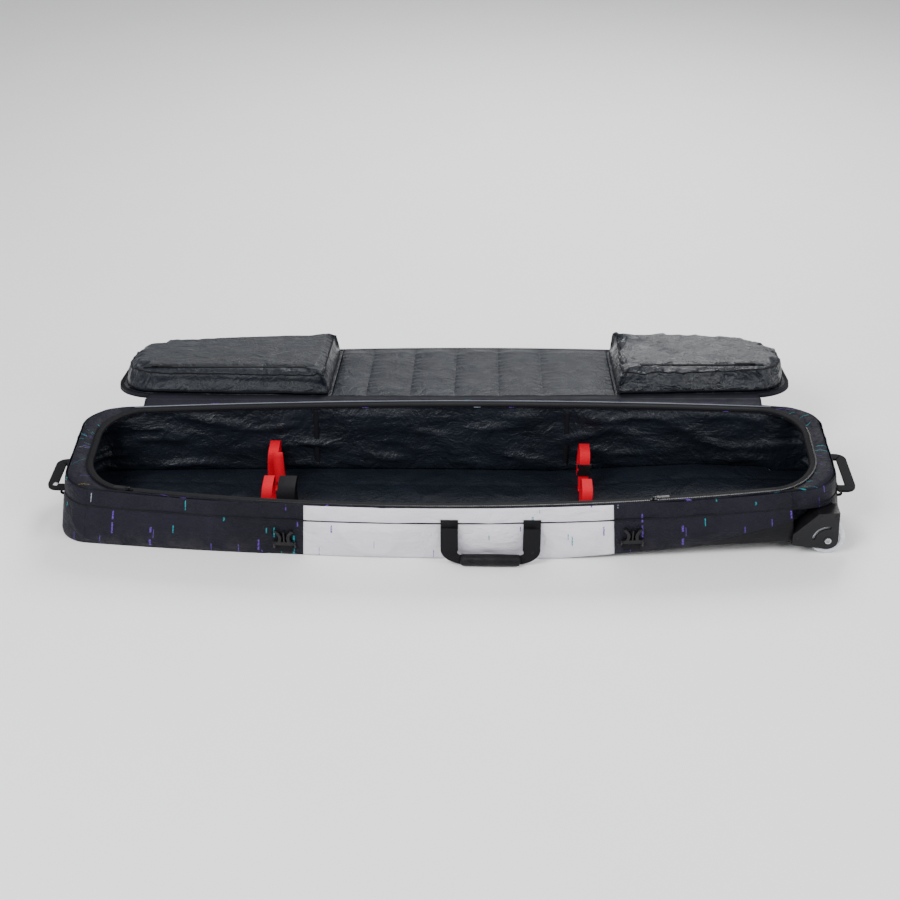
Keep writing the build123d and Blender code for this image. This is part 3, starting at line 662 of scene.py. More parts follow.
def cloth_material(name, dark, light, threads, roughness, density=0.0, dust=0.0, crumple=0.0,
                   crumple_scale=9.0, fleck=0.5, coat=0.0, specular=0.15):
    """Woven cloth: flecked yarn, painted shade in the gaps between threads, thread bump, creases, print and
    dust.
    """
    material, tree, shader, coords = start_material(name)
    uv = coords.outputs["UV"]
    space = coords.outputs["Object"]
    yarn = noise_node(tree, scaled(tree, uv, 900, 260), 1.0, 2.0)
    patch = noise_node(tree, space, 7.0, 4.0)
    blend = times(tree, remap(tree, yarn, 0.35, 0.65), fleck)
    blend = plus(tree, blend, remap(tree, patch, 0.3, 0.7, 0.0, 1 - fleck), clamp=True)
    weave = place_group(tree, weave_group(), uv, Threads_X=threads, Threads_Y=threads * 0.9)
    colour = mix_colour(tree, blend, dark, light)
    # painted shade: the gaps between the threads are darkened in the base colour towards the dark yarn at
    # 0.45 of its brightness
    thread_gap_shade = tuple(c * 0.45 for c in dark)
    gap_shade_share = times(tree, weave.outputs["Gaps"], 0.45)
    colour = mix_colour(tree, gap_shade_share, colour, thread_gap_shade)
    if density:
        dashes = place_group(tree, dash_group(), uv, Density=density)
        colour = mix_colour(tree, dashes.outputs["Mask"], colour, dashes.outputs["Color"])
    if dust:
        soil = place_group(tree, dust_group(), space, Amount=dust)
        colour = mix_colour(tree, soil.outputs["Mask"], colour, (0.34, 0.32, 0.30))
    tree.links.new(colour, shader.inputs["Base Color"])
    rough = remap(tree, noise_node(tree, space, 30.0, 3.0), 0.3, 0.7, roughness - 0.07, roughness + 0.07)
    tree.links.new(rough, shader.inputs["Roughness"])
    set_input(shader, "Coat Weight", coat)
    set_input(shader, "Specular IOR Level", specular)
    under = None
    if crumple:
        folds = noise_node(tree, space, crumple_scale, 5.0, 0.6, 0.6)
        ridges = math_node(tree, "ABSOLUTE", math_node(tree, "SUBTRACT", folds, 0.5))
        fine = noise_node(tree, scaled(tree, space, 1.0, 1.0, 2.2), crumple_scale * 3.5, 4.0, 0.6, 0.9)
        height = plus(tree, times(tree, ridges, -2.2), times(tree, fine, 0.35))
        under = add_bump(tree, shader, height, crumple)
    add_bump(tree, shader, weave.outputs["Height"], 0.00025, 0.5, under)
    return material


def webbing_material(name, colour, bright):
    """Ribbed narrow webbing with woven selvedges and painted shade in the gaps between the threads."""
    material, tree, shader, coords = start_material(name)
    uv = coords.outputs["UV"]
    weave = place_group(tree, weave_group(), uv, Threads_X=620.0, Threads_Y=520.0)
    yarn = noise_node(tree, scaled(tree, uv, 500, 1500), 1.0, 2.0)
    base = mix_colour(tree, remap(tree, yarn, 0.35, 0.65), colour, bright)
    # painted shade: the gaps between the threads are darkened in the base colour towards 0.3 of the webbing
    # colour
    dark = tuple(c * 0.3 for c in colour)
    share = times(tree, weave.outputs["Gaps"], 0.6)
    tree.links.new(mix_colour(tree, share, base, dark), shader.inputs["Base Color"])
    rough = remap(tree, yarn, 0.3, 0.7, 0.62, 0.8)
    tree.links.new(rough, shader.inputs["Roughness"])
    set_input(shader, "Specular IOR Level", 0.15)
    add_bump(tree, shader, weave.outputs["Height"], 0.0005, 0.7)
    return material


def moulded_material(name, colour, worn, roughness, grain=1400.0, depth=0.00006, coat=0.0):
    """Moulded plastic: fine grain, scuffed patches."""
    material, tree, shader, coords = start_material(name)
    space = coords.outputs["Object"]
    grain_value = noise_node(tree, space, grain, 2.0)
    scuff = remap(tree, noise_node(tree, space, 60.0, 5.0, 0.7), 0.52, 0.72)
    base = mix_colour(tree, times(tree, scuff, 0.5), colour, worn)
    tree.links.new(base, shader.inputs["Base Color"])
    rough = remap(tree, scuff, 0.0, 1.0, roughness, min(roughness + 0.2, 1.0))
    tree.links.new(rough, shader.inputs["Roughness"])
    set_input(shader, "Coat Weight", coat)
    set_input(shader, "Specular IOR Level", 0.5 if coat else 0.25)
    add_bump(tree, shader, grain_value, depth, 0.6)
    return material


def metal_material(name, colour, roughness, turned=True):
    """Turned or painted metal with fine tool marks and dull patches."""
    material, tree, shader, coords = start_material(name)
    space = coords.outputs["Object"]
    marks = noise_node(tree, scaled(tree, space, 1.0, 14.0, 1.0) if turned else space, 420.0, 3.0)
    dull = noise_node(tree, space, 90.0, 4.0)
    base = mix_colour(tree, remap(tree, dull, 0.4, 0.7), colour, tuple(c * 0.55 for c in colour))
    tree.links.new(base, shader.inputs["Base Color"])
    tree.links.new(remap(tree, marks, 0.3, 0.7, roughness, roughness + 0.18), shader.inputs["Roughness"])
    set_input(shader, "Metallic", 1.0)
    add_bump(tree, shader, marks, 0.00004, 0.5)
    return material


# ------------------------------------------------------------------ settings


def length_setting(label, text, value):
    return bpy.props.FloatProperty(name=label, description=text, default=value, unit="LENGTH")


def colour_setting(label, text, value):
    return bpy.props.FloatVectorProperty(
        name=label, description=text, subtype="COLOR", size=3, min=0.0, max=1.0, default=value
    )


class SkiBagSizes(bpy.types.PropertyGroup):
    wall_bulge: length_setting("Wall bulge", "How far the tub's walls belly out", 0.005)
    wall_crease: length_setting("Wall creases", "Depth of the folds in the tub's walls", 0.0065)
    lining_crease: length_setting("Lining creases", "Depth of the folds in the lining", 0.009)
    quilt_puff: length_setting("Quilt puff", "Height of the lid's quilted channels", 0.007)
    pad_puff: length_setting("Floor pad puff", "Height of the crown of the floor pad", 0.005)
    pouch_swell: length_setting("Pouch swell", "Most that a pouch may swell from its cut shape", 0.012)
    tooth_pitch: length_setting("Zip tooth pitch", "Spacing of the zip's teeth", 0.0042)
    camera_distance: length_setting("Camera distance", "From the camera to the bag, over the floor", 3.493)
    camera_height: length_setting("Camera height", "Height of the camera over the floor", 2.184)
    lens: bpy.props.FloatProperty(name="Lens", description="Focal length", default=67.9, unit="CAMERA")


class SkiBagColours(bpy.types.PropertyGroup):
    navy_dark: colour_setting("Navy, dark yarn", "Darker yarn of the outer cloth", (0.0038, 0.0036, 0.0070))
    navy_light: colour_setting("Navy, light yarn", "Lighter yarn of the outer cloth", (0.014, 0.0135, 0.024))
    white: colour_setting("White panel", "Main colour of the pale panel", (0.80, 0.79, 0.86))
    lining: colour_setting("Lining", "Main colour of the lining", (0.0050, 0.0068, 0.0105))
    black: colour_setting("Black", "Black webbing and coated cloth", (0.0040, 0.0040, 0.0050))
    red: colour_setting("Red", "Red webbing", (0.55, 0.0006, 0.012))
    wheel: colour_setting("Wheel", "Pale urethane of the wheels", (0.62, 0.64, 0.69))


MATERIALS = {}


def material(name):
    return MATERIALS[name]


class SKIBAG_OT_finishes(bpy.types.Operator):
    """Mix the cloths, webbings, plastics and metals"""

    bl_idname = "skibag.finishes"
    bl_label = "Finishes"

    def execute(self, context):
        hue = context.scene.ski_bag_colours
        black, white, pale = tuple(hue.black), tuple(hue.white), tuple(hue.wheel)
        navy = (tuple(hue.navy_dark), tuple(hue.navy_light))
        slate = (tuple(hue.lining), tuple(min(c * 2.1, 1) for c in hue.lining))
        coated = (black, (0.008, 0.008, 0.011))
        panel = (tuple(c * 0.86 for c in white), white)
        label = ((0.55, 0.55, 0.57), (0.75, 0.75, 0.77))
        for key, name, colours, threads, roughness, more in (
            ("navy", "navy_heather_cloth", navy, 900.0, 0.62,
             {"density": 0.075, "dust": 0.06, "crumple": 0.010, "crumple_scale": 9.0}),
            ("navy_plain", "navy_plain_cloth", navy, 900.0, 0.66, {"crumple": 0.003}),
            ("tarp", "black_coated_cloth", coated, 420.0, 0.48,
             {"dust": 0.03, "crumple": 0.003, "crumple_scale": 11.0, "fleck": 0.3, "coat": 0.03,
              "specular": 0.12}),
            ("white", "white_coated_cloth", panel, 700.0, 0.48,
             {"density": 0.045, "dust": 0.10, "crumple": 0.006, "crumple_scale": 9.0, "fleck": 0.25,
              "coat": 0.05}),
            ("lining", "slate_lining_cloth", slate, 1300.0, 0.36,
             {"crumple": 0.007, "crumple_scale": 12.0, "fleck": 0.35, "specular": 0.26}),
            ("quilt", "slate_quilted_cloth", slate, 1300.0, 0.42,
             {"crumple": 0.004, "crumple_scale": 16.0, "fleck": 0.4, "specular": 0.20}),
            ("pouch", "slate_pouch_cloth", slate, 1300.0, 0.38,
             {"crumple": 0.0045, "crumple_scale": 16.0, "fleck": 0.35, "specular": 0.24}),
            ("crinkled", "slate_crinkled_cloth", slate, 1300.0, 0.27,
             {"crumple": 0.012, "crumple_scale": 11.0, "fleck": 0.35, "specular": 0.45}),
            ("tag", "pale_tag_cloth", label, 1200.0, 0.7, {}),
        ):
            MATERIALS[key] = cloth_material(name, *colours, threads, roughness, **more)
        for key, name, colour, bright in (
            ("webbing", "black_webbing", black, (0.010, 0.010, 0.012)),
            ("red", "red_webbing", tuple(hue.red), (0.66, 0.0012, 0.020)),
            ("thread", "grey_stitching", (0.12, 0.12, 0.14), (0.2, 0.2, 0.22)),
            ("piping", "navy_piping", (0.004, 0.004, 0.006), (0.010, 0.010, 0.014)),
            ("fold", "grey_fold", (0.13, 0.14, 0.17), (0.22, 0.23, 0.27)),
        ):
            MATERIALS[key] = webbing_material(name, colour, bright)
        for key, name, colour, worn, roughness, more in (
            ("plastic", "black_moulded_plastic", (0.006, 0.006, 0.007), (0.018, 0.018, 0.020), 0.36, {}),
            ("teeth", "black_zip_teeth", (0.005, 0.005, 0.006), (0.012, 0.012, 0.012), 0.3, {}),
            ("core", "white_hub_plastic", (0.55, 0.56, 0.6), (0.4, 0.4, 0.4), 0.4, {}),
            ("urethane", "pale_urethane", pale, (0.42, 0.42, 0.44), 0.32,
             {"grain": 700.0, "depth": 0.00003, "coat": 0.3}),
        ):
            MATERIALS[key] = moulded_material(name, colour, worn, roughness, **more)
        MATERIALS["slider"] = metal_material("black_slider_metal", (0.018, 0.018, 0.020), 0.38, turned=False)
        MATERIALS["steel"] = metal_material("turned_steel", (0.55, 0.56, 0.58), 0.28)
        shader = next(n for n in MATERIALS["urethane"].node_tree.nodes if n.type == "BSDF_PRINCIPLED")
        set_input(shader, "Subsurface Weight", 0.35)
        set_input(shader, "Subsurface Radius", (0.01, 0.01, 0.012))
        return {"FINISHED"}


# ------------------------------------------------------------------ tub


def seam_height(x, y):
    """Height of the piped seam on the wall."""
    return rim_height(x, y) - SEAM_DROP


def calm_near(x, places, width=0.045):
    """0 close to the places along the bag that must stay flat, 1 away from them."""
    return min(smooth((abs(x - place) - width * 0.6) / width) for place in places)


def kick_line(x):
    """Top edge of the dark kick panel at the wheel end."""
    return KICK_RISE * (x - KICK_START) / (KICK_END - KICK_START)


def wall_place(p, z_low, z_high, h, sizes):
    """Point on the tub's wall, from z_low(x, y) to z_high(x, y), with belly and creases."""
    x, y = wall_plan(p, MID_WALL, 0.0)
    low = z_low(x, y)
    high = z_high(x, y)
    z = low + (high - low) * h
    x, y = wall_plan(p, z, 0.0)
    ahead = wall_plan((p + 0.004) if p + 0.004 < SECTIONS else 0.004, z, 0.0)
    direction = Vector((ahead[0] - x, ahead[1] - y, 0.0))
    if direction.length < 1e-7:
        direction = Vector((1.0, 0.0, 0.0))
    out = Vector((direction.y, -direction.x, 0.0)).normalized()
    bottom = floor_lift(x)
    seam = seam_height(x, y)
    rim = rim_height(x, y)
    share = (z - bottom) / max(seam - bottom, 0.01)
    belly = math.sin(math.pi * max(0.0, min(1.0, share))) * sizes.wall_bulge
    upper = math.sin(math.pi * max(0.0, min(1.0, (z - seam) / max(rim - seam, 0.01)))) * 0.002
    fold = ripple((x, y, z * 0.55), 9.0, 3.0) * sizes.wall_crease
    fold += crease((x * 0.7 + z * 0.5, y, z), 11.0, 8.0) * sizes.wall_crease * 0.8
    edge = smooth(share * 5) * smooth((1 - share) * 4) if share < 1 else 0.35
    calm = calm_near(x, COMPRESSION_X + ARM_X, 0.065) if y < 0 else 1.0
    push = belly * calm + upper + fold * edge * (0.25 + 0.75 * calm)
    if y < 0:
        dip = 0.0013 * (1.0 - calm_near(x, COMPRESSION_X, 0.065))
        push = min(push, 0.0002 + 0.010 * calm - dip)
    if abs(x) > 0.885:
        push = min(push, 0.0025)
    return Vector((x, y, z)) + out * push


def wall_piece(name, start, stop, columns, rows, z_low, z_high, look, nodes, sizes):
    """Panel of the tub's wall between two places on the plan, as thick cloth."""

    def place(u, v):
        return wall_place(start + (stop - start) * u, z_low, z_high, v, sizes)

    length = path_length(lambda u: place(u, 0.5), 40)
    height = (place(0.5, 1.0) - place(0.5, 0.0)).length
    bm = cloth_grid(columns, rows, place, (length, height))
    obj = finish_piece(name, bm, material(look), "tub", nodes)
    thicken(obj, WALL_CLOTH)


def rim_under(x, y):
    """Height of the walls' top edge, just under the rim."""
    return rim_height(x, y) - 0.002


class SKIBAG_OT_tub_walls(bpy.types.Operator):
    """Outer cloth of the tub: side panels, kick panel, ends and back"""

    bl_idname = "skibag.tub_walls"
    bl_label = "Tub walls"

    def execute(self, context):
        sizes = context.scene.ski_bag_sizes
        bottom = lambda x, y: floor_lift(x) + SOLE_GAP
        kick_bottom = lambda x, y: max(floor_lift(x) + SOLE_GAP, kick_line(x))
        kick_top = lambda x, y: max(kick_line(x), floor_lift(x) + 0.0016)
        seams = (WHITE_LEFT, WHITE_RIGHT, KICK_START, HOUSING_X)
        white_left, white_right, kick, front_stop = (section_for_x(x, MID_WALL, 0.0) for x in seams)
        back_start = 5.0 - front_stop
        over_housing = lambda x, y: HOUSING_TOP
        for name, start, stop, columns, rows, low, high, look, nodes in (
            ("front_cloth_left", 0.0, white_left, 110, 30, bottom, rim_under, "navy", ("front_panel_left",)),
            ("front_cloth_centre", white_left, white_right, 140, 30, bottom, rim_under, "white",
             ("front_panel_centre",)),
            ("front_cloth_right", white_right, front_stop, 90, 30, kick_bottom, rim_under, "navy",
             ("front_panel_right",)),
            ("front_kick_cloth", kick, front_stop, 80, 14, bottom, kick_top, "tarp", ("front_kick_panel",)),
            ("front_wheel_corner_cloth", front_stop, 1.5, 30, 12, over_housing, rim_under, "navy", ()),
            ("back_wheel_corner_cloth", 3.5, back_start, 30, 12, over_housing, rim_under, "navy", ()),
            ("back_cloth", back_start, 5.0, 240, 26, bottom, rim_under, "navy", ("back_panel",)),
            ("left_end_cloth", 5.0, 7.9999, 150, 30, bottom, rim_under, "navy", ("left_end_panel",)),
            ("right_end_cloth", 1.5, 3.5, 110, 30, bottom, rim_under, "tarp", ("right_end_panel",)),
        ):
            wall_piece(name, start, stop, columns, rows, low, high, look, nodes, sizes)

        def sole(u, v):
            x = -0.905 + 1.80 * u
            near, far = floor_edges(x, 0.004)
            return Vector((x, near + (far - near) * v, floor_lift(x) + SOLE_GAP))

        bm = cloth_grid(150, 24, sole, (1.8, 0.4), spread=end_spread)
        look = material("tarp")
        obj = finish_piece("bottom_cloth", bm, look, "tub", ("bottom_panel",))
        thicken(obj, 0.002)
        return {"FINISHED"}


def floor_edges(x, inset):
    """Front and back edge of the tub's plan near the floor, clear of the wheel housings."""
    half = HALF_LENGTH - inset
    corner = CORNER - inset
    x = max(-half, min(half, x))
    front = -(MID_FRONT - inset) + arc_drop(x, half, MID_FRONT - END_HALF)
    back = (MID_BACK - inset) - arc_drop(x, half, MID_BACK - END_HALF)
    over = max(0.0, abs(x) - (half - corner))
    cut = corner - math.sqrt(max(corner * corner - over * over, 0.0))
    front += cut
    back -= cut
    if x > HOUSING_X - 0.012:
        front = max(front, -HOUSING_INNER)
        back = min(back, HOUSING_INNER)
    return front, back


class SKIBAG_OT_rim(bpy.types.Operator):
    """Padded rim and hoods round the opening, with the piped seam below"""

    bl_idname = "skibag.rim"
    bl_label = "Rim"

    def execute(self, context):
        def rim(u, v):
            p = around(u)
            flat = 0.4
            if v < flat:
                x, run = opening_plan(p, RIM_WIDTH * v / flat)
                return on_rim(x, run, -0.0004) - RIM_UP * 0.006 * max(0.0, 1 - v / 0.1) ** 2
            share = (v - flat) / (1 - flat)
            x, run = opening_plan(p, RIM_WIDTH)
            x_wall, y_wall = wall_plan(p, 0.15, 0.0)
            x_wall, y_wall = wall_plan(p, rim_height(x_wall, y_wall), 0.0)
            outer = Vector((x_wall, y_wall, rim_height(x_wall, y_wall)))
            place = on_rim(x, run, 0.0).lerp(outer, share)
            crown = 0.0045 * smooth(share * 2.5) * smooth((1 - share) * 4)
            gather = ripple(place, 26.0, 5.0) * 0.0022 * smooth(share * 4)
            drop = 0.007 * max(0.0, (share - 0.85) / 0.15) ** 2
            return place + RIM_UP * (crown + gather - drop - 0.0004)

        bm = closed_cloth(420, 18, rim, 0.04)
        finish_piece("rim_cloth", bm, material("navy"), "tub", ("rim_deck",))

        def cord_centre(p):
            x, y = wall_plan(p, 0.1, -0.0012)
            x, y = wall_plan(p, seam_height(x, y), -0.0012)
            return Vector((x, y, seam_height(x, y)))

        def piping(u, v):
            p = around(u)
            centre = cord_centre(p)
            ahead = cord_centre(min(p + 0.01, LAST))
            behind = cord_centre(max(p - 0.01, 0.0))
            forward = (ahead - behind).normalized()
            out = forward.cross(RIM_UP).normalized()
            turn = 2 * math.pi * v
            return centre + (out * math.cos(turn) + RIM_UP * math.sin(turn)) * 0.0019

        along = path_length(lambda u: piping(u, 0.0))
        bm = cloth_grid(420, 8, piping, (along, 0.012), close_u=True)
        bmesh.ops.recalc_face_normals(bm, faces=bm.faces)
        finish_piece("seam_cord", bm, material("piping"), "tub", ("seam_piping",))
        return {"FINISHED"}


class SKIBAG_OT_lining(bpy.types.Operator):
    """Creased lining of the tub's walls and the padded floor"""

    bl_idname = "skibag.lining"
    bl_label = "Lining"

    def execute(self, context):
        sizes = context.scene.ski_bag_sizes
        deep = sizes.lining_crease

        def wall(u, v):
            p = around(u)
            x, y = wall_plan(p, 0.1, LINING_INSET)
            low = floor_lift(x) + PAD_TOP - 0.002
            high = rim_height(x, y) - 0.004
            z = low + (high - low) * v
            x, y = wall_plan(p, z, LINING_INSET)
            ahead = wall_plan(min(p + 0.01, LAST), z, LINING_INSET)
            behind = wall_plan(max(p - 0.01, 0.0), z, LINING_INSET)
            direction = Vector((ahead[0] - behind[0], ahead[1] - behind[1], 0.0)).normalized()
            inward = Vector((-direction.y, direction.x, 0.0))
            here = Vector((x, y, z))
            fold = crease((x * 0.8 + z * 0.6, y, z * 1.6), 8.0, 2.0) * deep
            fold += crease((x - z * 0.9, y * 0.8, z), 15.0, 6.0) * deep * 0.5
            fold += (ripple(here, 6.0, 4.0) + 0.4) * deep * 0.5
            fold *= smooth(v * 7 + 0.15) * smooth((1 - v) * 6)
            here += inward * max(0.0, fold)
            # beside the wheel housings the lining stays on the inner side of their walls
            if here.x > HOUSING_X - 0.010 and here.z < HOUSING_TOP + 0.006:
                here.y = max(-HOUSING_INNER, min(HOUSING_INNER, here.y))
            return here

        bm = closed_cloth(520, 34, wall, 0.17)
        foams = ("wall_lining", "front_foam", "back_foam", "left_end_foam", "right_end_foam")
        obj = finish_piece("lining_cloth", bm, material("lining"), "tub", foams)
        thicken(obj, THIN_CLOTH)

        def floor(u, v):
            x = -0.902 + 1.800 * u
            near, far = floor_edges(x, 0.0115)
            edge = smooth(v * 9) * smooth((1 - v) * 9) * smooth(u * 22) * smooth((1 - u) * 22)
            y = near + (far - near) * v
            lump = crease((x, y, 0.3), 10.0, 9.0) * 0.0035 + ripple((x, y, 0.1), 7.0, 1.0) * 0.0025
            lump *= calm_near(x, (LEFT_STRAP_X, BLACK_STRAP_X, RIGHT_STRAP_X), 0.03) * 0.8 + 0.2
            seam = math.exp(-(((abs(y) - 0.09) / 0.004) ** 2)) * 0.0025
            crown = edge * (sizes.pad_puff * 0.4 + lump - seam)
            return Vector((x, y, floor_lift(x) + PAD_TOP + crown))

        bm = cloth_grid(260, 60, floor, (1.8, 0.4))
        obj = finish_piece(
            "floor_cushion", bm, material("quilt"), "tub", ("floor_pad", "base_board")
        )
        thicken(obj, 0.004, -1.0)
        for side, x in (("left", -0.335), ("right", 0.285)):
            y0 = MID_BACK - arc_drop(x, HALF_LENGTH, MID_BACK - END_HALF)
            low = PAD_TOP + floor_lift(x)
            points = [
                Vector((x, y0 - LINING_INSET - 0.002 + LEAN_MID_BACK * z - 0.004 * math.sin(z * 18), z))
                for z in [low + (0.183 - low) * i / 14 for i in range(15)]
            ]
            band(f"lining_binding_{side}", points, X_AXIS, 0.012, 0.0016, "piping", "tub")
        return {"FINISHED"}


# ------------------------------------------------------------------ zip


def zip_teeth(name, place, start, stop, body, pitch):
    """Row of moulded teeth along place(p), which gives a point, the forward and the up direction."""
    bm = bmesh.new()
    length = 0.0
    steps = 400
    marks = [(0.0, start)]
    last = place(start)[0]
    for step in range(1, steps + 1):
        p = start + (stop - start) * step / steps
        here = place(p)[0]
        length += (here - last).length
        marks.append((length, p))
        last = here
    count = int(length / pitch)
    cursor = 0
    for index in range(count):
        target = (index + 0.5) * pitch
        while marks[cursor + 1][0] < target:
            cursor += 1
        a, b = marks[cursor], marks[cursor + 1]
        p = a[1] + (b[1] - a[1]) * (target - a[0]) / max(b[0] - a[0], 1e-9)
        point, forward, up = place(p)
        side = up.cross(forward).normalized()
        basis = Matrix((forward * pitch * 0.62, side * TOOTH_WIDTH, up * TOOTH_HEIGHT)).transposed().to_4x4()
        bmesh.ops.create_cube(bm, size=1.0, matrix=Matrix.Translation(point) @ basis)
    finish_piece(name, bm, material("teeth"), body, smooth_faces=False)


class SKIBAG_OT_zips(bpy.types.Operator):
    """Zip tapes and teeth of the tub and the lid, and the fold between them"""

    bl_idname = "skibag.zips"
    bl_label = "Zips"

    def execute(self, context):
        sizes = context.scene.ski_bag_sizes

        def tape(low, high, height, on):
            def place(u, v):
                x, run = opening_plan(around(u), low + (high - low) * v)
                lip = -0.004 * (1 - smooth(v * 6)) if on == "tub" else 0.0
                if on == "tub":
                    return on_rim(x, run, height + lip)
                return on_lid(x, HINGE_V - run, height)

            return place

        for on, low, high, height, rows, width, thickness in (
            ("tub", -0.0012, 0.016, 0.0009, 6, 0.017, 0.0009),
            ("lid", -0.001, 0.0084, -0.0024, 4, 0.0105, 0.0012),
        ):
            bm = closed_cloth(420, rows, tape(low, high, height, on), width)
            obj = finish_piece(f"{on}_zip_tape", bm, material("webbing"), on, (f"{on}_zip",))
            thicken(obj, thickness)

        def tooth_line(offset, height, on):
            def place(p):
                wrapped = p % SECTIONS
                spots = []
                for q in ((wrapped - 0.01) % SECTIONS, wrapped, (wrapped + 0.01) % SECTIONS):
                    x, run = opening_plan(q, offset)
                    spots.append(on_rim(x, run, height) if on == "tub" else on_lid(x, HINGE_V - run, height))
                up = RIM_UP if on == "tub" else LID_FACE
                return spots[1], (spots[2] - spots[0]).normalized(), up

            return place

        for on, offset, height in (("tub", 0.0137, 0.0021), ("lid", 0.0066, -0.0008)):
            zip_teeth(f"{on}_zip_teeth", tooth_line(offset, height, on), *ZIP_SECTIONS, on, sizes.tooth_pitch)

        def fold(u, v):
            x = FOLD_HALF * (2 * u - 1)
            tub_edge = back_of_opening(x, 0.0155)
            lid_edge = lid_edges(x, 0.0095)[0] + 0.001
            if v < 0.5:
                t = v * 2
                slack = -0.003 * math.sin(math.pi * t) * smooth(abs(tub_edge) / 0.02)
                return on_rim(x, tub_edge + (HINGE_V - tub_edge) * t, 0.0012 + (HINGE_W - 0.0012) * t + slack)
            t = v * 2 - 1
            slack = -0.003 * math.sin(math.pi * t) * smooth(lid_edge / 0.03)
            return on_lid(x, lid_edge * t, -0.0022 * t + slack)

        bm = cloth_grid(200, 16, fold, (2 * FOLD_HALF, 0.05))
        obj = finish_piece("hinge_fold_cloth", bm, material("navy_plain"), None)
        thicken(obj, THIN_CLOTH)
        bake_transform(obj)

        def welt(u, v):
            x = WELT_HALF * (2 * u - 1)
            tub_edge = back_of_opening(x, 0.0165)
            turn = 2 * math.pi * v
            centre = on_rim(x, tub_edge, 0.0022)
            return centre + (RIM_BACK * math.cos(turn) + RIM_UP * math.sin(turn)) * 0.0016

        bm = cloth_grid(200, 8, welt, (2 * WELT_HALF, 0.01))
        bmesh.ops.remove_doubles(bm, verts=bm.verts, dist=WELD)
        bmesh.ops.holes_fill(bm, edges=[e for e in bm.edges if e.is_boundary], sides=0)
        bmesh.ops.recalc_face_normals(bm, faces=bm.faces)
        finish_piece("back_rim_welt", bm, material("fold"), "tub")
        return {"FINISHED"}


# ------------------------------------------------------------------ lid


def pressed_cloth(obj, pinned, pressure, cap):
    """Swell a closed cloth shape from inside, each point moving no further than cap."""
    group = obj.vertex_groups.new(name="sewn")
    group.add([v.index for v in obj.data.vertices if pinned(v.co)], 1.0, "REPLACE")
    start = [v.co.copy() for v in obj.data.vertices]
    modifier = obj.modifiers.new("Cloth", "CLOTH")
    modifier.settings.quality = 5
    modifier.settings.use_pressure = True
    modifier.settings.uniform_pressure_force = pressure
    modifier.settings.vertex_group_mass = "sewn"
    modifier.settings.effector_weights.gravity = 0.0
    modifier.settings.tension_stiffness = 12
    modifier.settings.bending_stiffness = 0.6
    modifier.collision_settings.use_collision = False
    modifier.point_cache.frame_start = 1
    modifier.point_cache.frame_end = SWELL_FRAMES
    scene = bpy.context.scene
    for step in range(1, SWELL_FRAMES + 1):
        scene.frame_set(step)
    graph = bpy.context.evaluated_depsgraph_get()
    shaped = obj.evaluated_get(graph).to_mesh()
    ends = [v.co.copy() for v in shaped.vertices]
    obj.evaluated_get(graph).to_mesh_clear()
    obj.modifiers.remove(modifier)
    scene.frame_set(1)
    for vert, a, b in zip(obj.data.vertices, start, ends):
        move = b - a
        if move.length > cap:
            move = move.normalized() * cap
        vert.co = a + move
    obj.data.update()


def even_mesh(obj, voxel):
    """Remesh to even faces of the given size."""
    modifier = obj.modifiers.new("Even", "REMESH")
    modifier.mode = "VOXEL"
    modifier.voxel_size = voxel
    graph = bpy.context.evaluated_depsgraph_get()
    mesh = bpy.data.meshes.new_from_object(obj.evaluated_get(graph))
    obj.modifiers.remove(modifier)
    old = obj.data
    obj.data = mesh
    bpy.data.meshes.remove(old)


def lid_coordinates(point):
    """Along the bag, out from the hinge and height on the open lid."""
    offset = point - HINGE
    return offset.dot(ALONG), offset.dot(LID_OUT), offset.dot(LID_FACE)


def lid_flat_uv(obj):
    """Lay the UV map of a lid piece straight down its inner face, in metres."""
    layer = obj.data.uv_layers.new(name="UVMap")
    for item in obj.data.loops:
        x, out, height = lid_coordinates(obj.data.vertices[item.vertex_index].co)
        layer.data[item.index].uv = (x + height * 0.7, out + height * 0.7)


def pouch_edges(x, grow):
    """Near and far edge of a pouch's plan, out from the hinge."""
    near, far = lid_edges(x, grow)
    return near - POUCH_SHIFT, far - POUCH_SHIFT


def pouch_loop(ends, grow, height, steps=150):
    """Points round a pouch at one height, from its near left corner."""
    low, high = ends[0] - grow, ends[1] + grow
    points = []
    for step in range(steps):
        x = low + (high - low) * step / (steps - 1)
        points.append(on_lid(x, pouch_edges(x, grow - 0.006)[0], height))
    for step in range(steps):
        x = high + (low - high) * step / (steps - 1)
        points.append(on_lid(x, pouch_edges(x, grow - 0.006)[1], height))
    points.append(points[0].copy())
    dense = [points[0]]
    for point in points[1:]:
        gap = (point - dense[-1]).length
        if gap < 0.003:
            continue
        cuts = max(1, int(gap / 0.008))
        start = dense[-1]
        dense += [start.lerp(point, (k + 1) / cuts) for k in range(cuts)]
    return dense


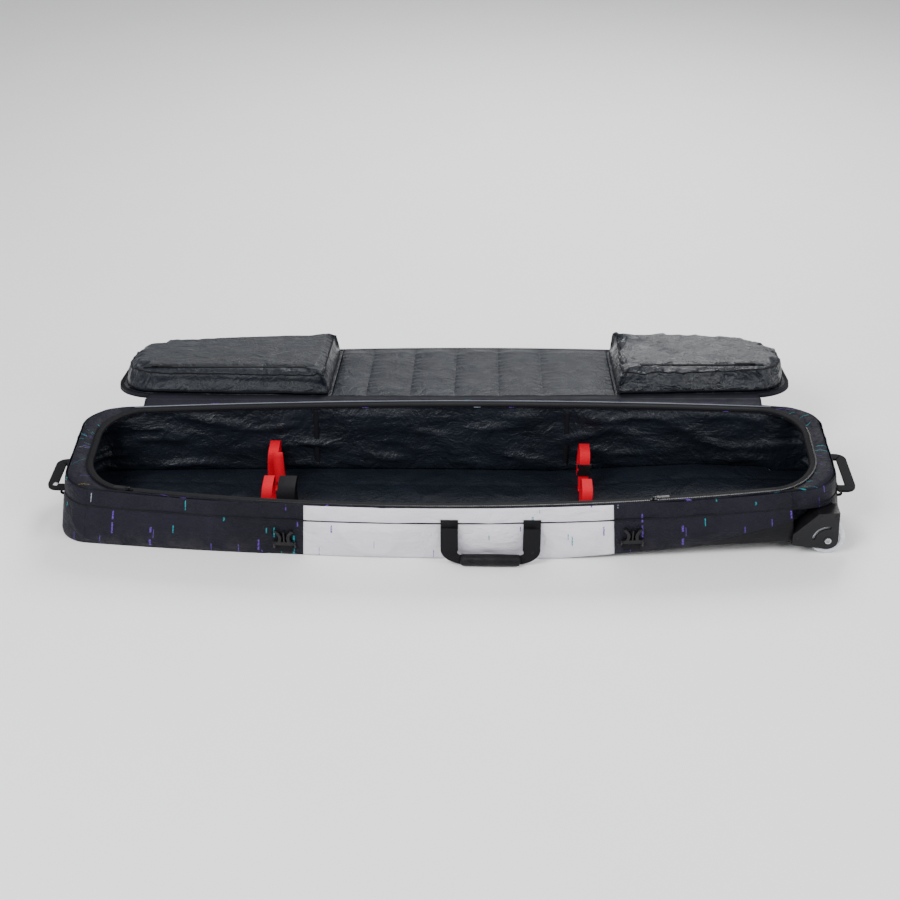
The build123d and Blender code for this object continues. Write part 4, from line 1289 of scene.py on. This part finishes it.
def pouch_body(node, ends, depth, rounding, look, sizes, slump, creases):
    """Soft pouch on the lid: swollen from inside, then creased where it is gathered."""
    low, high = ends
    base = -0.0004
    bm = bmesh.new()
    bmesh.ops.create_cube(bm, size=1.0)
    bmesh.ops.subdivide_edges(bm, edges=bm.edges, cuts=40, use_grid_fill=True)
    middle = (low + high) / 2
    for vert in bm.verts:
        a, b, c = vert.co.x + 0.5, vert.co.y + 0.5, vert.co.z + 0.5
        tall = c * depth
        over = max(0.0, tall - depth + rounding) / rounding
        shrink = rounding * (1 - math.sqrt(max(0.0, 1 - over * over)))
        x = low + 0.002 + (high - low - 0.004) * a
        near, far = pouch_edges(x, -0.008)
        out = near + (far - near) * b
        x += (middle - x) / ((high - low) / 2) * shrink
        out += ((near + far) / 2 - out) / max((far - near) / 2, 0.02) * shrink
        tall *= 1 - slump * (0.5 - 0.5 * math.cos(2 * math.pi * (x * 2.3 + out * 1.3)))
        vert.co = on_lid(x, out, base + tall)
    obj = finish_piece(f"{node}_cloth", bm, material(look), None)
    even_mesh(obj, 0.006)
    pressed_cloth(obj, lambda co: lid_coordinates(co)[2] < 0.008, SWELL_PRESSURE, sizes.pouch_swell)
    top = depth - 0.0012
    for vert in obj.data.vertices:
        x, out, height = lid_coordinates(vert.co)
        near, far = pouch_edges(x, -0.006)
        share = smooth(height / (depth * 0.6))
        from_side = min(out - near, far - out, x - low, high - x)
        gather = math.exp(-((from_side / 0.030) ** 2)) * smooth((height - 0.012) / 0.02)
        run = x if min(out - near, far - out) < min(x - low, high - x) else out
        fold = math.sin(run * 300 + ripple((run, 0, 0), 22.0, 7.0) * 6) * 0.0016 * gather
        fold += crease((x * 0.8, out, height * 2), 13.0, 4.0) * creases
        fold += crease((x - out * 0.6, out, height), 22.0, 14.0) * creases * 0.5
        fold += ripple((x, out, height), 9.0, 2.0) * creases * 0.9
        fold += ripple((x, out, 0.0), 3.0, 12.0) * creases * 1.2
        lifted = height + fold * share
        flat = smooth(1.6 - abs(out - POUCH_ZIP_OUT) / 0.012) * smooth((height / depth - 0.5) * 6)
        lifted = lifted * (1 - flat) + top * flat
        lifted = min(lifted, depth + 0.003)
        x = max(low - 0.0015, min(high + 0.0015, x))
        out = max(near - 0.0005, min(far + 0.004, out))
        vert.co = on_lid(x, out, max(lifted, base - 0.002))
    lid_flat_uv(obj)
    obj.data.polygons.foreach_set("use_smooth", [True] * len(obj.data.polygons))
    subdivide(obj, 1)
    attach(obj, "lid")
    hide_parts(node)
    for mark, grow, height in (("top", -rounding * 0.42, depth - rounding * 0.25), ("foot", 0.0, 0.004)):
        line = []
        for point in pouch_loop(ends, grow - 0.001, height):
            place, normal = obj.closest_point_on_mesh(point)[1:3]
            line.append(place + normal * 0.0006)
        name = f"{node}_{mark}_piping"
        band(name, line, LID_FACE, 0.0032, 0.0026, "piping", "lid", soft=0.0009)
    zip_start, zip_stop = low + POUCH_ZIP_MARGIN, high - POUCH_ZIP_MARGIN
    points = [on_lid(x, POUCH_ZIP_OUT, depth - 0.0004) for x in (zip_start, middle, zip_stop)]
    band(f"{node}_zip_tape", points, LID_OUT, 0.011, 0.0011, "webbing", "lid")

    def line_of_teeth(p):
        return on_lid(p, POUCH_ZIP_OUT, depth - 0.0002), ALONG, LID_FACE

    zip_teeth(f"{node}_zip_teeth", line_of_teeth, zip_start, zip_stop, "lid", sizes.tooth_pitch)


class SKIBAG_OT_lid(bpy.types.Operator):
    """Lid: outer cloth, edge, quilted lining and the straps across its back"""

    bl_idname = "skibag.lid"
    bl_label = "Lid"

    def execute(self, context):
        sizes = context.scene.ski_bag_sizes

        def plate(low, high, grow, height):
            def place(u, v):
                x = low + (high - low) * u
                near, far = lid_edges(x, grow)
                out = near + (far - near) * v
                return on_lid(x, out, height(x, out, near, far))

            return place

        outer_height = lambda x, out, near, far: -0.0112 + ripple((x, out, 0), 7.0, 3.0) * 0.0012
        half = OPEN_HALF + 0.0093
        bm = cloth_grid(240, 40, plate(-half, half, 0.0095, outer_height), (1.7, 0.42), spread=end_spread)
        obj = finish_piece(
            "lid_outer_cloth", bm, material("navy"), "lid", ("lid_outer_panel", "lid_foam")
        )
        thicken(obj, 0.0016)

        def edge(u, v):
            x, run = opening_plan(around(u), 0.0080 + 0.0006 * math.sin(math.pi * v))
            return on_lid(x, HINGE_V - run, -0.0118 + 0.0096 * v)

        bm = closed_cloth(420, 5, edge, 0.011)
        obj = finish_piece("lid_edge_cloth", bm, material("navy_plain"), "lid")
        thicken(obj, THIN_CLOTH)

        lines = [LID_QUILT[0], *(QUILT_CENTRE + QUILT_PITCH * k for k in range(-2, 3)), LID_QUILT[1]]

        def quilt_height(x, out, near, far):
            for left, right in zip(lines, lines[1:]):
                if left <= x <= right or right == lines[-1]:
                    f = max(0.0, min(1.0, (x - left) / (right - left)))
                    break
            across = max(0.0, 1 - (2 * f - 1) ** 2) ** 0.5
            ends = smooth((out - near) / 0.05) * smooth((far - out) / 0.05)
            pucker = math.sin(out * 210 + ripple((x, out, 0), 14.0, 5.0) * 4) * 0.0011 * (1 - across) ** 0.7
            fold = ripple((x, out, 0), 13.0, 8.0) * 0.0022 * across
            return -0.0022 + across * sizes.quilt_puff * (0.25 + 0.75 * ends) + (pucker + fold) * ends

        bm = cloth_grid(280, 110, plate(LID_QUILT[0], LID_QUILT[1], -0.0005, quilt_height), (0.705, 0.4))
        obj = finish_piece("lid_quilt", bm, material("quilt"), "lid", ("lid_lining",))
        thicken(obj, 0.003, -1.0)
        flat = lambda x, out, near, far: (
            -0.0030 + ripple((x, out, 0), 12.0, 6.0) * 0.0016 + crease((x, out, 0.2), 16.0, 1.0) * 0.0015
        )
        end = OPEN_HALF - 0.0006
        for name, low, high in (("left", -end, LID_QUILT[0]), ("right", LID_QUILT[1], end)):
            bm = cloth_grid(130, 60, plate(low, high, -0.0005, flat), (0.55, 0.4))
            obj = finish_piece(f"lid_lining_{name}_cloth", bm, material("lining"), "lid")
            thicken(obj, 0.0014)
        for x in lines[1:-1]:
            near, far = lid_edges(x, -0.006)
            outs = [near + (far - near) * i / 40 for i in range(41)]
            points = [on_lid(x, out, quilt_height(x, out, near, far) + 0.0002) for out in outs]
            number = round((x - lines[0]) / QUILT_PITCH)
            band(f"quilt_stitch_{number}", points, ALONG, 0.0012, 0.0006, "thread", "lid")
        for side, x in zip(("left", "right"), COMPRESSION_X):
            waves = [-0.0131 + 0.0006 * math.sin(i * 1.3) for i in range(25)]
            points = [on_lid(x, 0.032 + 0.368 * i / 24, wave) for i, wave in enumerate(waves)]
            name, nodes = f"compression_webbing_{side}", (f"lid_strap_{side}",)
            band(name, points, ALONG, 0.038, WEBBING_THICK, "webbing", "lid", nodes)
        return {"FINISHED"}


class SKIBAG_OT_pouches(bpy.types.Operator):
    """The two zipped pouches on the lid's lining"""

    bl_idname = "skibag.pouches"
    bl_label = "Pouches"

    def execute(self, context):
        sizes = context.scene.ski_bag_sizes
        pouch_body("left_pouch", LEFT_POUCH, 0.0560, 0.018, "pouch", sizes, 0.02, 0.0026)
        pouch_body("right_pouch", RIGHT_POUCH, 0.0600, 0.024, "crinkled", sizes, 0.12, 0.011)
        return {"FINISHED"}


# ------------------------------------------------------------------ webbing inside the tub


class SKIBAG_OT_straps(bpy.types.Operator):
    """Standing webbing loops inside the tub"""

    bl_idname = "skibag.straps"
    bl_label = "Inner straps"

    def execute(self, context):
        rows = (
            ("back_strap_left", LEFT_STRAP_X, 0.025, 0.066, 0.144, 0.120, "red"),
            ("back_strap_right", RIGHT_STRAP_X, 0.025, 0.066, 0.144, 0.120, "red"),
            ("front_strap_left", LEFT_STRAP_X, 0.025, -0.076, 0.002, 0.104, "red"),
            ("front_strap_right", RIGHT_STRAP_X, 0.025, -0.076, 0.002, 0.104, "red"),
            ("black_strap", BLACK_STRAP_X, 0.042, -0.076, 0.002, 0.104, "webbing"),
        )
        for name, x, width, near, far, top, look in rows:
            base = PAD_TOP + floor_lift(x + width / 2) + 0.001
            y0, y1, z1 = near + 0.001, far - 0.001, top - 0.001
            corners = [Vector((x, y0, base)), Vector((x, y0, z1)), Vector((x, y1, z1)), Vector((x, y1, base))]
            points = rounded_path(corners, STRAP_BEND, 8)
            shaped = []
            for point in subdivided_path(points, 0.006):
                share = (point.z - base) / (z1 - base)
                sag = 0.004 * smooth(share * 3 - 2) * math.sin(math.pi * (point.y - y0) / (y1 - y0))
                lean = 0.0015 * math.sin(share * 5 + x * 9)
                shaped.append(Vector((point.x + lean, point.y, point.z - sag)))
            band(f"{name}_webbing", shaped, X_AXIS, width, STRAP_THICK, look, "tub", (name,), soft=0.0005)
            for side, y in (("near", y0), ("far", y1)):
                foot = [Vector((x, y + k * 0.004, base + 0.0012)) for k in range(-3, 4)]
                band(f"{name}_{side}_foot", foot, X_AXIS, width + 0.002, 0.0018, look, "tub", soft=0.0005)
        # loose tail of the back strap, folded beside it
        bends = ((0.012, 0.066, 0.1175), (0.014, 0.060, 0.112), (0.016, 0.054, 0.085), (0.018, 0.052, 0.055),
                 (0.020, 0.050, 0.036))
        tail = rounded_path([Vector((LEFT_STRAP_X + x, y, z)) for x, y, z in bends], 0.02, 4)
        across = Vector((1, 0.1, 0)).normalized()
        band("back_strap_left_tail", tail, across, 0.025, 0.0018, "red", "tub")
        return {"FINISHED"}


# ------------------------------------------------------------------ handles


def ribbon(points, normal, widths, thickness):
    """A flat band lying in one plane whose width changes along it."""

    def across(i):
        forward = (points[min(i + 1, len(points) - 1)] - points[max(i - 1, 0)]).normalized()
        return normal.cross(forward).normalized()

    return sweep(points, across, widths, thickness, WEAVE_WIDTH)


class SKIBAG_OT_handles(bpy.types.Operator):
    """Carry handle on the front wall and the loop at each end"""

    bl_idname = "skibag.handles"
    bl_label = "Handles"

    def execute(self, context):
        grip_low, grip_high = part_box("carry_grip")
        centre = (grip_low + grip_high) / 2
        top = joint("carry_handle_swing")["pos_m"]
        top = Vector((0.0, top[1], top[2]))
        foot = Vector((0.0, centre.y, centre.z))
        normal = (foot - top).cross(X_AXIS).normalized()
        middle = sum(ARM_X) / 2
        for side, x in (("left", ARM_X[0]), ("right", ARM_X[1])):
            inward = 1 if x < middle else -1
            end_x = middle - inward * GRIP_HALF
            place = lambda px, share: Vector((px, 0, 0)) + top.lerp(foot, share)
            corners = [place(x, -0.02), place(x, 0.74), place(x + inward * 0.010, 0.93), place(end_x, 1.0)]
            points = rounded_path(corners, ARM_BEND, 8)
            run = [(point - points[0]).length for point in points]
            widths = [ARM_WIDTH - ARM_TAPER * smooth((reach / run[-1] - 0.66) / 0.3) for reach in run]
            bm = ribbon(points, normal, widths, ARM_THICK)
            replaced = ("carry_webbing",) if side == "left" else ()
            obj = finish_piece(f"carry_arm_{side}", bm, material("webbing"), "carry_handle",
                               replaced)
            soften(obj, 0.0006)
            heights = [0.118 - 0.092 * step / 12 for step in range(13)]
            anchor = [Vector((x, wall_plan(section_for_x(x, z, -0.0016), z, -0.0030)[1], z)) for z in heights]
            band(f"carry_anchor_{side}", anchor, X_AXIS, ARM_WIDTH, WEBBING_THICK, "webbing", "tub")

        radius = (grip_high.z - grip_low.z) / 2

        def grip(u, v):
            turn = 2 * math.pi * v
            bulge = radius * (0.93 + 0.07 * math.sin(math.pi * u))
            end = min(u, 1 - u)
            bulge *= math.sqrt(max(0.0, 1 - max(0.0, 1 - end / 0.035) ** 2)) * 0.98 + 0.02
            seam = 0.0012 * math.exp(-(((v - 0.62) / 0.012) ** 2))
            ribs = 0.0005 * math.sin(u * 190)
            reach = bulge - seam + ribs * smooth(end * 20)
            x = grip_low.x + (grip_high.x - grip_low.x) * u
            return Vector((x, centre.y + reach * math.cos(turn), centre.z + reach * math.sin(turn)))

        bm = cloth_grid(90, 40, grip, (0.14, 0.088), close_u=True)
        bmesh.ops.recalc_face_normals(bm, faces=bm.faces)
        look = material("tarp")
        obj = finish_piece("carry_grip_cloth", bm, look, "carry_handle", ("carry_grip",))

        for side, sign in (("left", -1), ("right", 1)):
            pivot = Vector(joint(f"{side}_handle_swing")["pos_m"])
            low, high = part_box(f"{side}_handle")
            half = (high.y - low.y) / 2 - END_HANDLE_INSET
            reach = (high.x - pivot.x if sign > 0 else pivot.x - low.x) - END_HANDLE_INSET
            out = Vector((sign, 0, 0))
            spot = lambda a, y: pivot + out * a + Vector((0, y, 0))
            corners = [spot(-0.001, -half), spot(reach, -half), spot(reach, half), spot(-0.001, half)]
            dense = subdivided_path(rounded_path(corners, END_HANDLE_BEND, 8), 0.008)
            bm = ribbon(dense, Z_AXIS, [END_HANDLE_WIDTH] * len(dense), END_HANDLE_THICK)
            obj = finish_piece(f"{side}_end_handle", bm, material("webbing"), f"{side}_handle_loop",
                               (f"{side}_handle",))
            soften(obj, 0.0022, 3)
            for mark, y in (("front", -half), ("back", half)):
                wall_x = HALF_LENGTH + LEAN_LENGTH * pivot.z
                patch_x = sign * (wall_x + 0.0022)
                patch = [Vector((patch_x, y, pivot.z + k)) for k in (-0.020, -0.006, 0.006, 0.020)]
                name = f"{side}_handle_{mark}"
                band(f"{name}_patch", patch, Y_AXIS, 0.030, 0.002, "webbing", "tub")
                y += KEEPER_OFFSET if y > 0 else -KEEPER_OFFSET
                loop = [
                    Vector((sign * (wall_x + 0.002), y, pivot.z + 0.007)),
                    pivot + Vector((sign * 0.002, y, KEEPER_REACH)),
                    pivot + Vector((sign * KEEPER_REACH, y, 0.0)),
                    pivot + Vector((sign * 0.002, y, -KEEPER_REACH)),
                    Vector((sign * (wall_x + 0.002), y, pivot.z - 0.007)),
                ]
                loop = rounded_path(loop, 0.004, 4)
                band(f"{name}_keeper", loop, Y_AXIS, 0.010, WEBBING_THICK, "webbing", "tub")
        tag = [Vector(place) for place in
               ((-0.9335, -0.052, 0.0912), (-0.9385, -0.050, 0.0914), (-0.9435, -0.048, 0.0912))]
        across = Vector((0.3, 1, 0)).normalized()
        band("left_handle_tag", tag, across, 0.012, 0.0006, "tag", "left_handle_loop")
        return {"FINISHED"}


# ------------------------------------------------------------------ hardware


def paint(look, *nodes):
    """Give CAD pieces one of the finishes."""
    for name in nodes:
        mesh = frame["nodes"][name].data
        mesh.materials.clear()
        mesh.materials.append(material(look))


class SKIBAG_OT_hardware(bpy.types.Operator):
    """Finishes of the wheels, housings, buckles and sliders, and the buckles' webbing tabs"""

    bl_idname = "skibag.hardware"
    bl_label = "Wheels and buckles"

    def execute(self, context):
        for end in ("front", "back"):
            paint("plastic", f"{end}_wheel_housing")
            paint("urethane", f"{end}_tyre")
            paint("core", f"{end}_wheel_core")
            paint("steel", f"{end}_axle_bolt", f"{end}_wheel_bearings")
        paint("plastic", "strap_buckle")
        for side in ("left", "right"):
            paint("plastic", f"front_buckle_{side}", f"lid_buckle_{side}", f"zip_pull_{side}")
            paint("slider", f"zip_slider_{side}", f"{side}_pouch_slider")
        for side in ("left", "right"):
            swing = joint(f"front_buckle_{side}_swing")
            pin = Vector(swing["pos_m"])
            along = Vector(swing["axis"]).normalized()
            low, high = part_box(f"front_buckle_tab_{side}")
            x = pin.x
            points = []
            for step in range(10):
                z = low.z + 0.001 + (pin.z - 0.008 - low.z) * step / 9
                p = section_for_x(x, z, 0.0)
                points.append(Vector((x, wall_plan(p, z, -0.0030)[1], z)))
            name, tab = f"front_buckle_{side}", (f"front_buckle_tab_{side}",)
            band(f"{name}_webbing", points, along, TAB_WIDTH, WEBBING_THICK, "webbing", "tub", tab)
            for mark, sign in (("left", -1), ("right", 1)):
                ear = pin + along * (sign * 0.0245)
                wall_y = wall_plan(section_for_x(x, pin.z - 0.015, 0.0), pin.z - 0.015, -0.0030)[1]
                path = [Vector((ear.x, wall_y, pin.z - 0.016)), Vector((ear.x, ear.y - 0.001, pin.z - 0.006))]
                path += [ear - Y_AXIS * 0.0035, ear + Z_AXIS * 0.0035, ear + Y_AXIS * 0.002]
                ear_path = rounded_path(path, 0.003, 4)
                band(f"{name}_ear_{mark}", ear_path, along, 0.004, 0.0018, "plastic", "tub")
        tag_x, tag_z = 0.778, 0.062
        tag_y = wall_plan(section_for_x(tag_x, 0.06, 0), 0.06, -0.0030)[1]
        tag = [Vector((tag_x + k * 0.006, tag_y + k * 0.001, tag_z)) for k in range(3)]
        band("side_seam_tag", tag, Z_AXIS, 0.012, 0.0006, "tag", "tub")
        return {"FINISHED"}


# ------------------------------------------------------------------ stage


class SKIBAG_OT_stage(bpy.types.Operator):
    """Pale floor, soft lights and the camera"""

    bl_idname = "skibag.stage"
    bl_label = "Stage"

    def execute(self, context):
        scene = context.scene
        sizes = scene.ski_bag_sizes
        look, tree, shader, coords = start_material("pale_floor")
        grain = noise_node(tree, coords.outputs["Object"], 3.0, 3.0)
        pale = mix_colour(tree, grain, (0.86, 0.86, 0.86), (0.90, 0.90, 0.90))
        tree.links.new(pale, shader.inputs["Base Color"])
        set_input(shader, "Roughness", 0.6)
        bm = bmesh.new()
        bmesh.ops.create_grid(bm, x_segments=2, y_segments=2, size=12.0)
        mesh = bpy.data.meshes.new("floor")
        bm.to_mesh(mesh)
        bm.free()
        floor = bpy.data.objects.new("floor", mesh)
        mesh.materials.append(look)
        scene.collection.objects.link(floor)
        world = bpy.data.worlds.new("soft_room")
        scene.world = world
        world.use_nodes = True
        world.node_tree.nodes["Background"].inputs[0].default_value = (0.96, 0.97, 1.0, 1)
        world.node_tree.nodes["Background"].inputs[1].default_value = 0.50
        for name, place, energy, size in (
            ("key", (-2.2, -2.6, 3.4), 215.0, 2.0),
            ("fill", (2.8, -2.2, 2.6), 110.0, 2.4),
            ("rear", (0.6, 3.0, 3.0), 150.0, 1.8),
        ):
            lamp = bpy.data.lights.new(name, "AREA")
            lamp.energy = energy
            lamp.size = size
            obj = bpy.data.objects.new(name, lamp)
            obj.location = place
            obj.rotation_euler = (Vector((0, 0.1, 0.1)) - obj.location).to_track_quat("-Z", "Y").to_euler()
            scene.collection.objects.link(obj)
        turn = math.radians(1.2)
        pitch = math.radians(30.0)
        eye = bpy.data.cameras.new("camera")
        eye.lens = sizes.lens
        eye.sensor_width = 36.0
        camera = bpy.data.objects.new("camera", eye)
        camera.location = (math.sin(turn) * sizes.camera_distance, -math.cos(turn) * sizes.camera_distance,
                           sizes.camera_height)
        camera.rotation_euler = (math.radians(90) - pitch, 0.0, turn)
        scene.collection.objects.link(camera)
        scene.camera = camera
        return {"FINISHED"}


# ------------------------------------------------------------------ panel and run


OPERATORS = (
    SKIBAG_OT_finishes,
    SKIBAG_OT_stage,
    SKIBAG_OT_tub_walls,
    SKIBAG_OT_rim,
    SKIBAG_OT_lining,
    SKIBAG_OT_zips,
    SKIBAG_OT_lid,
    SKIBAG_OT_pouches,
    SKIBAG_OT_straps,
    SKIBAG_OT_handles,
    SKIBAG_OT_hardware,
)


class SKIBAG_PT_panel(bpy.types.Panel):
    """Sizes, colours and build steps of the ski bag"""

    bl_idname = "SKIBAG_PT_panel"
    bl_label = "Ski bag"
    bl_space_type = "VIEW_3D"
    bl_region_type = "UI"
    bl_category = "Ski Bag"

    def draw(self, context):
        layout = self.layout
        for group in (context.scene.ski_bag_sizes, context.scene.ski_bag_colours):
            box = layout.box()
            for key in group.bl_rna.properties.keys():
                if key not in {"rna_type", "name"}:
                    box.prop(group, key)
        for operator in OPERATORS:
            layout.operator(operator.bl_idname)


CLASSES = (SkiBagSizes, SkiBagColours, *OPERATORS, SKIBAG_PT_panel)


def register():
    for item in CLASSES:
        bpy.utils.register_class(item)
    bpy.types.Scene.ski_bag_sizes = bpy.props.PointerProperty(type=SkiBagSizes)
    bpy.types.Scene.ski_bag_colours = bpy.props.PointerProperty(type=SkiBagColours)


def unregister():
    del bpy.types.Scene.ski_bag_colours
    del bpy.types.Scene.ski_bag_sizes
    for item in reversed(CLASSES):
        bpy.utils.unregister_class(item)


def main():
    register()
    for operator in OPERATORS:
        name = operator.bl_idname.split(".")[1]
        getattr(bpy.ops.skibag, name)()


if __name__ == "__main__":
    main()
